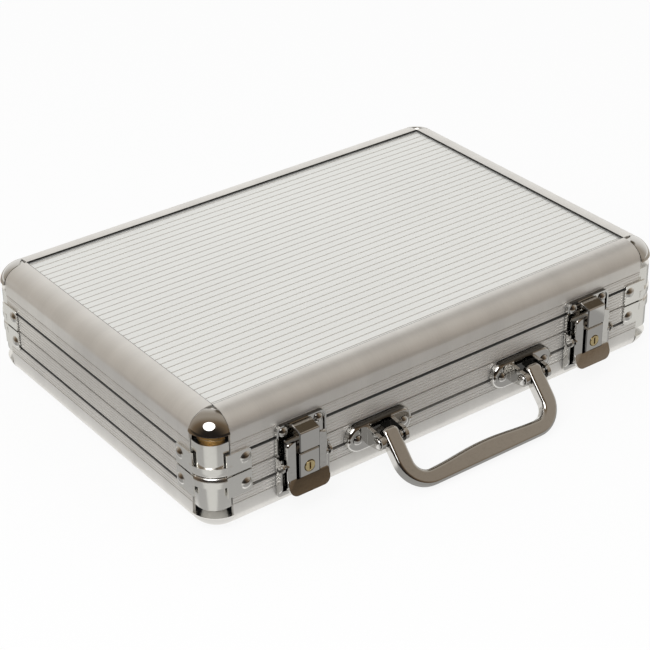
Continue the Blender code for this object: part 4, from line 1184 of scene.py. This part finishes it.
def make_latches():
    """Both latches."""
    h = settings("latch")
    shapes = {"latch_catch": (catch_plate(), "lid", "shaded_plate"),
              "latch_base": (latch_base(), "base", "bright_plate"),
              "latch_lever": (latch_lever(), "latch_rocker_{}", "bright_plate"),
              "lock_box": (lock_box(), "base", "shaded_plate"),
              "key_plug": (key_plug(), "key_turn_{}", "lock_brass")}
    rivet = dome("rivet", h.rivet_radius, h.rivet_rise, 0)
    for side in ("left", "right"):
        low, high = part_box(f"latch_catch_{side}")
        face = front_face((low.x + high.x) / 2, SPLIT)
        for name, (shape, body, look) in shapes.items():
            dressed(placed(shape, f"bright_{name}_{side}", face), body.format(side), look, f"{name}_{side}")
        for end in ("inner", "outer"):
            rivet_from_node(rivet, f"catch_rivet_{side}_{end}", "lid")
    discard(rivet, *(shape for shape, *_ in shapes.values()))


def rivet_from_node(rivet, node, body):
    """A rivet head with its shank, seated where the node is."""
    low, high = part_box(node)
    h = settings("latch")
    place = Vector(((low.x + high.x) / 2, low.y + h.rivet_rise, (low.z + high.z) / 2))
    head = placed(rivet, f"bright_{node}", axes(place, X, Z))
    shank = rod("shank", h.pivot_radius, place - Y * h.rivet_rise / 3, (place.x, high.y, place.z),
                ROUND // 2)
    dressed(smooth(joined(head, shank)), body, "bright_plate", node)


# Handle

def bracket():
    """A domed pill plate with two ears."""
    s, h = settings("case"), settings("handle")
    half_w, half_h = h.width / 2, h.height / 2
    front = s.seat_gap + h.thickness
    body = plate("bracket", rounded((-half_w, -half_h), (half_w, half_h), (half_h,) * 4), s.seat_gap, front)
    with editing(body):
        select(body, "EDGE", lambda p: p.z > front - WELD)
        bpy.ops.mesh.bevel(offset=h.edge, segments=ROLL, affect="EDGES")
    tip = arc((h.pivot_stand, 0), h.ear_tip, -80, 80)
    root = s.seat_gap + h.thickness / 2
    ear = [(root, -h.ear_root / 2), *tip, (root, h.ear_root / 2)]
    inner = h.ear_gap / 2
    for x in (-inner - h.ear, inner):
        wall = side_wall(ear, "ear", x, x + h.ear)
        bore = rod("bore", h.pin_radius + s.seat_gap / 2, (x - h.ear, 0, h.pivot_stand),
                   (x + 2 * h.ear, 0, h.pivot_stand))
        cut(wall, bore)
        joined(body, wall)
    return eased(body, s.seat_gap, 3, 50)


def handle_outline():
    """The bail seen square on: x across, y from the axis towards the grip."""
    h = settings("handle")
    outer, inner = h.offset + h.arm / 2, h.offset - h.arm / 2
    end, grip = h.reach, h.reach - h.grip
    nose, centre = h.nose_round, h.nose_round - h.arm_nose
    points = arc((outer - nose, centre), nose, 270, 360)
    points += arc((outer - h.bend, end - h.bend), h.bend, 0, 90)
    points += arc((h.bend - outer, end - h.bend), h.bend, 90, 180)
    points += arc((nose - outer, centre), nose, 180, 270)
    points += arc((-inner - nose, centre), nose, 270, 360)
    points += arc((h.inner_bend - inner, grip - h.inner_bend), h.inner_bend, 180, 90)
    span, steps = inner - h.inner_bend, 3 * QUARTER
    for i in range(1, steps):
        x = span * (2 * i / steps - 1)
        points.append((x, grip - h.swell * (math.cos(math.pi * x / span) + 1) / 2))
    points += arc((inner - h.inner_bend, grip - h.inner_bend), h.inner_bend, 90, 0)
    return points + arc((inner + nose, centre), nose, 180, 270)


def make_handle():
    """The handle with its brackets, pins and rivets."""
    s, h, latch = settings("case"), settings("handle"), settings("latch")
    shape = bracket()
    rivet = dome("rivet", latch.rivet_radius, latch.rivet_rise, 0)
    pin = headed_pin(h.pin_radius, h.pin_head, h.pin_rise, h.ear_gap / 2 + h.ear + s.seat_gap, HANDLE_PIN)
    for way, middle in (("left", -h.offset), ("right", h.offset)):
        dressed(placed(shape, f"bright_bracket_{way}", front_face(middle, h.level)), "base", "shaded_plate",
                f"handle_bracket_{way}")
        axle = Matrix.Translation((middle, FRONT - h.pivot_stand, h.level))
        dressed(placed(pin, f"bright_handle_pin_{way}", axle), "base", "bright_plate", f"handle_pin_{way}")
        for end in ("inner", "outer"):
            rivet_from_node(rivet, f"bracket_rivet_{way}_{end}", "base")
    bail = plate("bright_handle", handle_outline(), -h.depth / 2, h.depth / 2)
    for way in (-1, 1):
        with editing(bail):
            select(bail, "EDGE", lambda p: way * p.z > h.depth / 2 - WELD)
            bpy.ops.mesh.bevel(offset=h.handle_edge, segments=ROLL, affect="EDGES", clamp_overlap=False)
    half = h.ear_gap / 2 - s.seat_gap
    for x in (-h.offset, h.offset):
        joined(bail, rod("knuckle", h.knuckle, (x - half, 0, 0), (x + half, 0, 0)))
        cut(bail, rod("bore", h.pin_radius + s.seat_gap / 2, (x - h.ear_gap, 0, 0), (x + h.ear_gap, 0, 0)))
    smooth(bail)
    grip = rest_turn()
    down = Vector((0, -math.sin(grip), -math.cos(grip)))
    set_down(bail, axes((0, FRONT - h.pivot_stand, h.level), X, down))
    dressed(bail, "handle", "bright_plate", "handle")
    discard(shape, rivet, pin)


def rest_turn():
    """The handle's turn from straight down, so that it ends as low as its node."""
    h = settings("handle")
    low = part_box("handle")[0].z
    arm, side = h.reach - h.handle_edge, h.depth / 2 - h.handle_edge
    drop = h.level - h.handle_edge - low
    return math.atan2(side, arm) + math.acos(drop / math.hypot(arm, side))


# Back hinges

def hinge_leaf(up, spans):
    """A leaf with fingers that run into knuckles over the given spans of its width."""
    s, h = settings("case"), settings("hinge")
    half, clear = h.width / 2, h.knuckle + s.seat_gap
    stand = 2 * s.seat_gap + h.knuckle
    comb = arc((half - h.leaf_round, h.leaf_height - h.leaf_round), h.leaf_round, 0, 90)
    comb += arc((h.leaf_round - half, h.leaf_height - h.leaf_round), h.leaf_round, 90, 180)
    comb.append((-half, clear))
    rolls = []
    for start, end in spans:
        x0 = h.width * start - half + (s.seat_gap / 2 if start > 0 else 0)
        x1 = h.width * end - half - (s.seat_gap / 2 if end < 1 else 0)
        comb += [(x0 + s.seat_gap, clear), (x0 + s.seat_gap, h.knuckle / 3),
                 (x1 - s.seat_gap, h.knuckle / 3), (x1 - s.seat_gap, clear)]
        rolls.append(rod("roll", h.knuckle, (x0, 0, stand), (x1, 0, stand)))
    comb.append((half, clear))
    leaf = plate("leaf", [(x, up * y) for x, y in dict.fromkeys(comb)], s.seat_gap, s.seat_gap + h.leaf)
    joined(leaf, *rolls)
    for x in (-h.screw_offset, h.screw_offset):
        screw = dome("screw", h.screw_radius, h.screw_rise, h.leaf / 2)
        slot = block("slot", (-h.screw_radius, -h.screw_rise / 3, h.screw_rise / 3),
                     (h.screw_radius, h.screw_rise / 3, h.screw_rise * 2))
        set_down(cut(screw, slot), Matrix.Translation((x, up * h.screw_height, s.seat_gap + h.leaf)))
        joined(leaf, screw)
    return eased(leaf, s.seat_gap / 2, 2)


def make_hinges():
    """Both back hinges."""
    s, h = settings("case"), settings("hinge")
    leaves = {"base": hinge_leaf(-1, ((0, 1 / 3), (2 / 3, 1))), "lid": hinge_leaf(1, ((1 / 3, 2 / 3),))}
    pin = headed_pin(h.pin, h.head, h.head_rise, h.width / 2 + s.seat_gap, HINGE_PIN)
    for way, x in (("left", -h.offset), ("right", h.offset)):
        for shell, leaf in leaves.items():
            piece = placed(leaf, f"bright_hinge_{shell}_{way}", axes((x, BACK, SPLIT), -X, Z))
            dressed(piece, shell, "bright_plate", f"hinge_{shell}_leaf_{way}")
        axle = Matrix.Translation((x, BACK + 2 * s.seat_gap + h.knuckle, SPLIT))
        dressed(placed(pin, f"bright_hinge_pin_{way}", axle), "base", "bright_plate", f"hinge_pin_{way}")
    discard(pin, *leaves.values())


# Lining

def lined_box(name, low, high, radius):
    """A block with rounded upright edges."""
    outline = rounded(low[:2], high[:2], (radius,) * 4)
    return plate(name, outline, low[2], high[2])


def make_tray():
    """The foam tray with its channels and wells."""
    n = settings("lining")
    low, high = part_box("chip_tray")
    tray = lined_box("foam_chip_tray", low, high, n.tray_round)
    axis = low.z + n.tray_floor + n.channel
    first = low.x + n.row_margin + n.channel
    pitch = 2 * n.channel + n.row_wall
    mouth = high.z + n.channel
    for row in range(4):
        x = first + pitch * row
        section = arc((x, axis), n.channel, 180, 360, 3 * QUARTER)
        section += [(x + n.channel, mouth), (x - n.channel, mouth)]
        channel = plate("channel", section, -n.channel_length / 2, n.channel_length / 2)
        cut(tray, set_down(channel, axes((0, MIDDLE, 0), X, Z)))
    left = first + 3 * pitch + n.channel + n.well_gap
    right = left + n.card_width
    for way in (-1, 1):
        y0, y1 = sorted((way * n.card_gap / 2, way * (n.card_gap / 2 + n.card_length)))
        floor = low.z + n.card_floor
        well = block("well", (left, MIDDLE + y0, floor), (right, MIDDLE + y1, mouth))
        middle = MIDDLE + (y0 + y1) / 2
        thumb = rod("thumb", n.thumb, (right, middle, floor + n.row_wall), (right, middle, mouth))
        cut(tray, joined(well, thumb))
    start = right + n.thumb + n.row_margin
    cut(tray, block("dice", (start, MIDDLE - n.dice_length / 2, low.z + n.dice_floor),
                    (start + n.dice_width, MIDDLE + n.dice_length / 2, mouth)))
    eased(tray, n.easing, 3)
    dressed(tray, "base", "cut_foam", "chip_tray")


def make_liner():
    """The lid's felt-lined tub."""
    n = settings("lining")
    low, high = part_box("lid_liner")
    tub = lined_box("felt_lid_liner", low, high, n.tray_round)
    inner_low = Vector((low.x + n.liner_wall, low.y + n.liner_wall, low.z - n.liner_wall))
    inner_high = high - Vector((1, 1, 1)) * n.liner_wall
    cut(tub, lined_box("room", inner_low, inner_high, n.tray_round - n.liner_wall))
    eased(tub, n.easing, 3)
    dressed(tub, "lid", "felt_lining", "lid_liner")


def make_pad():
    """The foam pad in the lid, with rows of soft bumps."""
    n = settings("lining")
    low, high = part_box("lid_pad")
    size, middle = high - low, (low + high) / 2
    pad = primitive("foam_lid_pad", "grid", x_subdivisions=PAD_GRID[0], y_subdivisions=PAD_GRID[1], size=1,
                    location=((low.x + high.x) / 2, (low.y + high.y) / 2, high.z))
    pad.scale = (size.x, size.y, 1)
    raised(set_down(pad, Matrix()), 0, low.z - high.z)
    corner = n.tray_round - n.liner_wall
    for vertex in pad.data.vertices:
        p = vertex.co
        x, y = p.x - middle.x, p.y - middle.y
        if p.z < middle.z:
            wave = math.sin(math.pi * x / n.pad_pitch) * math.sin(math.pi * y / n.pad_pitch)
            edge = max(0, min(size.x / 2 - abs(x), size.y / 2 - abs(y)))
            fall = max(0, 1 - edge / n.pad_edge)
            rise = n.pad_bump * (1 - wave * wave) * min(1, edge / n.pad_edge)
            p.z += rise + n.pad_edge * (1 - math.sqrt(1 - fall * fall))
        reach = Vector((abs(x) - size.x / 2 + corner, abs(y) - size.y / 2 + corner))
        if min(reach) > 0:
            scale = max(reach) / reach.length
            p.x = middle.x + math.copysign(size.x / 2 - corner + reach.x * scale, x)
            p.y = middle.y + math.copysign(size.y / 2 - corner + reach.y * scale, y)
    smooth(pad, 50)
    dressed(pad, "lid", "cut_foam", "lid_pad")


def dress_nodes():
    """Finish the CAD pieces whose shape is kept."""
    for kind, look in (("panel", "ribbed_sheet"), ("board", "dark_board")):
        for shell in ("lid", "base"):
            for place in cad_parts[f"{shell}_{kind}"].material_slots:
                place.material = finish(look)


# Stage

def room_light(paint, away, reach):
    """The studio's tone from the camera's side, -reach, to the bright side, reach."""
    tone = tint("sky_dark")
    for name, low, high in ROOM_TONES:
        tone = paint.mix(away.between(low * reach, high * reach), tone, tint(name))
    return tone


def studio_sky():
    """Studio light: even for dull surfaces, banded for bright ones, white for the camera."""
    bpy.context.scene.view_settings.view_transform = "Standard"
    world = bpy.data.worlds.new("studio")
    bpy.context.scene.world = world
    world.use_nodes = True
    world.node_tree.nodes.clear()
    sky = Finish("studio", world.node_tree)
    where = sky.node("ShaderNodeTexCoord", output="Generated")
    x, y, _ = sky.parts(where)
    wall = room_light(sky, x * SKY_WAY[0] + y * SKY_WAY[1], 1.0)
    card = sky.node("ShaderNodeVectorMath", {"operation": "DOT_PRODUCT"}, {0: where, 1: FLAG_WAY}, "Value")
    wall = sky.mix(card.between(*FLAG_EDGE), wall, tint("sky_flag"))
    glossy, seen, through = sky.rays()
    surround = settings("stage").surround
    dull = sky.mix(glossy, (surround, surround, surround), wall)
    light = sky.mix((seen + through).limited(), dull, (1, 1, 1))
    glow = sky.node("ShaderNodeBackground", {}, {"Color": light})
    sky.add("ShaderNodeOutputWorld", {}, {"Surface": glow})


def studio_floor():
    """A pale floor that the camera sees as white, but for the case's shadow."""
    t = settings("stage")
    floor = set_down(primitive("studio_floor", "plane", size=t.floor_size, location=(0, 0, 0)), Matrix())
    paint = Finish("studio_floor")
    paint.set(Base_Color=tint("floor"), Roughness=0.9)
    x, y, _ = paint.parts(paint.place())
    y = y - MIDDLE
    beside = (abs(x) - (RIGHT - LEFT) / 2).above_zero()
    before = (abs(y) - (BACK - FRONT) / 2).above_zero()
    off = before.past(t.sweep_front, (0, t.sweep_edge)) + beside.past(t.sweep_side, (0, t.sweep_edge))
    corner = beside.between(0, t.sweep_edge) * before.between(0, t.sweep_edge)
    sweep = paint.mix(corner, tint("sweep"), tint("sweep_corner"))
    sweep = paint.mix((beside + before).between(t.sweep_edge, 4 * t.sweep_edge), tint("sky_bright"), sweep)
    room = room_light(paint, x * FLOOR_WAY[0] + y * FLOOR_WAY[1], FLOOR_REACH)
    glossy, seen, through = paint.rays()
    light = paint.mix(glossy, (1, 1, 1), paint.mix(off.limited(), sweep, room))
    glow = paint.node("ShaderNodeEmission", {}, {"Color": light})
    share = (glossy + (seen + through) * t.glow).limited()
    plain = Sum(paint, paint.shader.outputs[0])
    mixed = paint.node("ShaderNodeMixShader", {}, {0: share, 1: plain, 2: glow})
    paint.fill(paint.tree.nodes["Material Output"], {"Surface": mixed})
    floor.data.materials.append(paint.material)


def studio_lamp():
    """One round soft lamp, up and to the left of the camera."""
    t = settings("stage")
    up, around = t.lamp_elevation, t.lamp_azimuth
    way = Vector((math.sin(around) * math.cos(up), -math.cos(around) * math.cos(up), math.sin(up)))
    pick()
    bpy.ops.object.light_add(type="AREA", location=Vector((0, MIDDLE, SPLIT)) + way * t.lamp_distance,
                             rotation=(-way).to_track_quat("-Z", "Y").to_euler())
    lamp = bpy.context.object
    lamp.name = "round_lamp"
    lamp.data.shape = "DISK"
    lamp.data.size = t.lamp_size
    lamp.data.energy = t.lamp_power


def studio_camera():
    """The camera, at the photograph's place."""
    t = settings("stage")
    pick()
    bpy.ops.object.camera_add(location=Vector(t.eye) + Y * MIDDLE, rotation=t.turn)
    camera = bpy.context.object
    camera.name = "photo_camera"
    camera.data.lens = t.focal
    camera.data.clip_start = t.lamp_size / 100
    bpy.context.scene.camera = camera


# Operators, panel and registration

class Step:
    """What the operators share: each runs its own makers in order."""

    def execute(self, context):
        for make in self.makers:
            make()
        return {"FINISHED"}


class CHIPCASE_OT_rails(Step, bpy.types.Operator):
    """Build the eight satin rails of the two shells"""
    bl_idname = "chipcase.rails"
    bl_label = "Rails"
    makers = (make_rails,)


class CHIPCASE_OT_panels(Step, bpy.types.Operator):
    """Finish the ribbed panels and the boards behind them"""
    bl_idname = "chipcase.panels"
    bl_label = "Panels"
    makers = (dress_nodes,)


class CHIPCASE_OT_corners(Step, bpy.types.Operator):
    """Build the eight ball corners"""
    bl_idname = "chipcase.corners"
    bl_label = "Corners"
    makers = (make_corners,)


class CHIPCASE_OT_latches(Step, bpy.types.Operator):
    """Build both key latches"""
    bl_idname = "chipcase.latches"
    bl_label = "Latches"
    makers = (make_latches,)


class CHIPCASE_OT_handle(Step, bpy.types.Operator):
    """Build the handle with its brackets"""
    bl_idname = "chipcase.handle"
    bl_label = "Handle"
    makers = (make_handle,)


class CHIPCASE_OT_hinges(Step, bpy.types.Operator):
    """Build both back hinges"""
    bl_idname = "chipcase.hinges"
    bl_label = "Hinges"
    makers = (make_hinges,)


class CHIPCASE_OT_lining(Step, bpy.types.Operator):
    """Build the chip tray, the lid's liner and its pad"""
    bl_idname = "chipcase.lining"
    bl_label = "Lining"
    makers = (make_tray, make_liner, make_pad)


class CHIPCASE_OT_stage(Step, bpy.types.Operator):
    """Set up the floor, light and camera"""
    bl_idname = "chipcase.stage"
    bl_label = "Stage"
    makers = (studio_sky, studio_floor, studio_lamp, studio_camera)


STEPS = (CHIPCASE_OT_rails, CHIPCASE_OT_panels, CHIPCASE_OT_corners, CHIPCASE_OT_latches, CHIPCASE_OT_handle,
         CHIPCASE_OT_hinges, CHIPCASE_OT_lining, CHIPCASE_OT_stage)


class CHIPCASE_PT_panel(bpy.types.Panel):
    """The steps and their sizes, in the sidebar"""
    bl_idname = "CHIPCASE_PT_panel"
    bl_label = "Chip Case"
    bl_space_type = "VIEW_3D"
    bl_region_type = "UI"
    bl_category = "Chip Case"

    def draw(self, context):
        for step in STEPS:
            self.layout.operator(step.bl_idname)
        for name, group in GROUPS.items():
            box = self.layout.box()
            box.label(text=name.capitalize())
            for field in group.__annotations__:
                box.prop(settings(name), field)


def register():
    """Register the groups, operators and panel."""
    for group in GROUPS.values():
        bpy.utils.register_class(group)
    for name, group in GROUPS.items():
        setattr(bpy.types.Scene, f"chip_case_{name}", PointerProperty(type=group))
    for step in (*STEPS, CHIPCASE_PT_panel):
        bpy.utils.register_class(step)


def unregister():
    """Take them all away again."""
    for step in reversed((*STEPS, CHIPCASE_PT_panel)):
        bpy.utils.unregister_class(step)
    for name, group in reversed(GROUPS.items()):
        delattr(bpy.types.Scene, f"chip_case_{name}")
        bpy.utils.unregister_class(group)


def main():
    """Build everything in order."""
    register()
    bpy.ops.chipcase.rails()
    bpy.ops.chipcase.panels()
    bpy.ops.chipcase.corners()
    bpy.ops.chipcase.latches()
    bpy.ops.chipcase.handle()
    bpy.ops.chipcase.hinges()
    bpy.ops.chipcase.lining()
    bpy.ops.chipcase.stage()


if __name__ == "__main__":
    main()
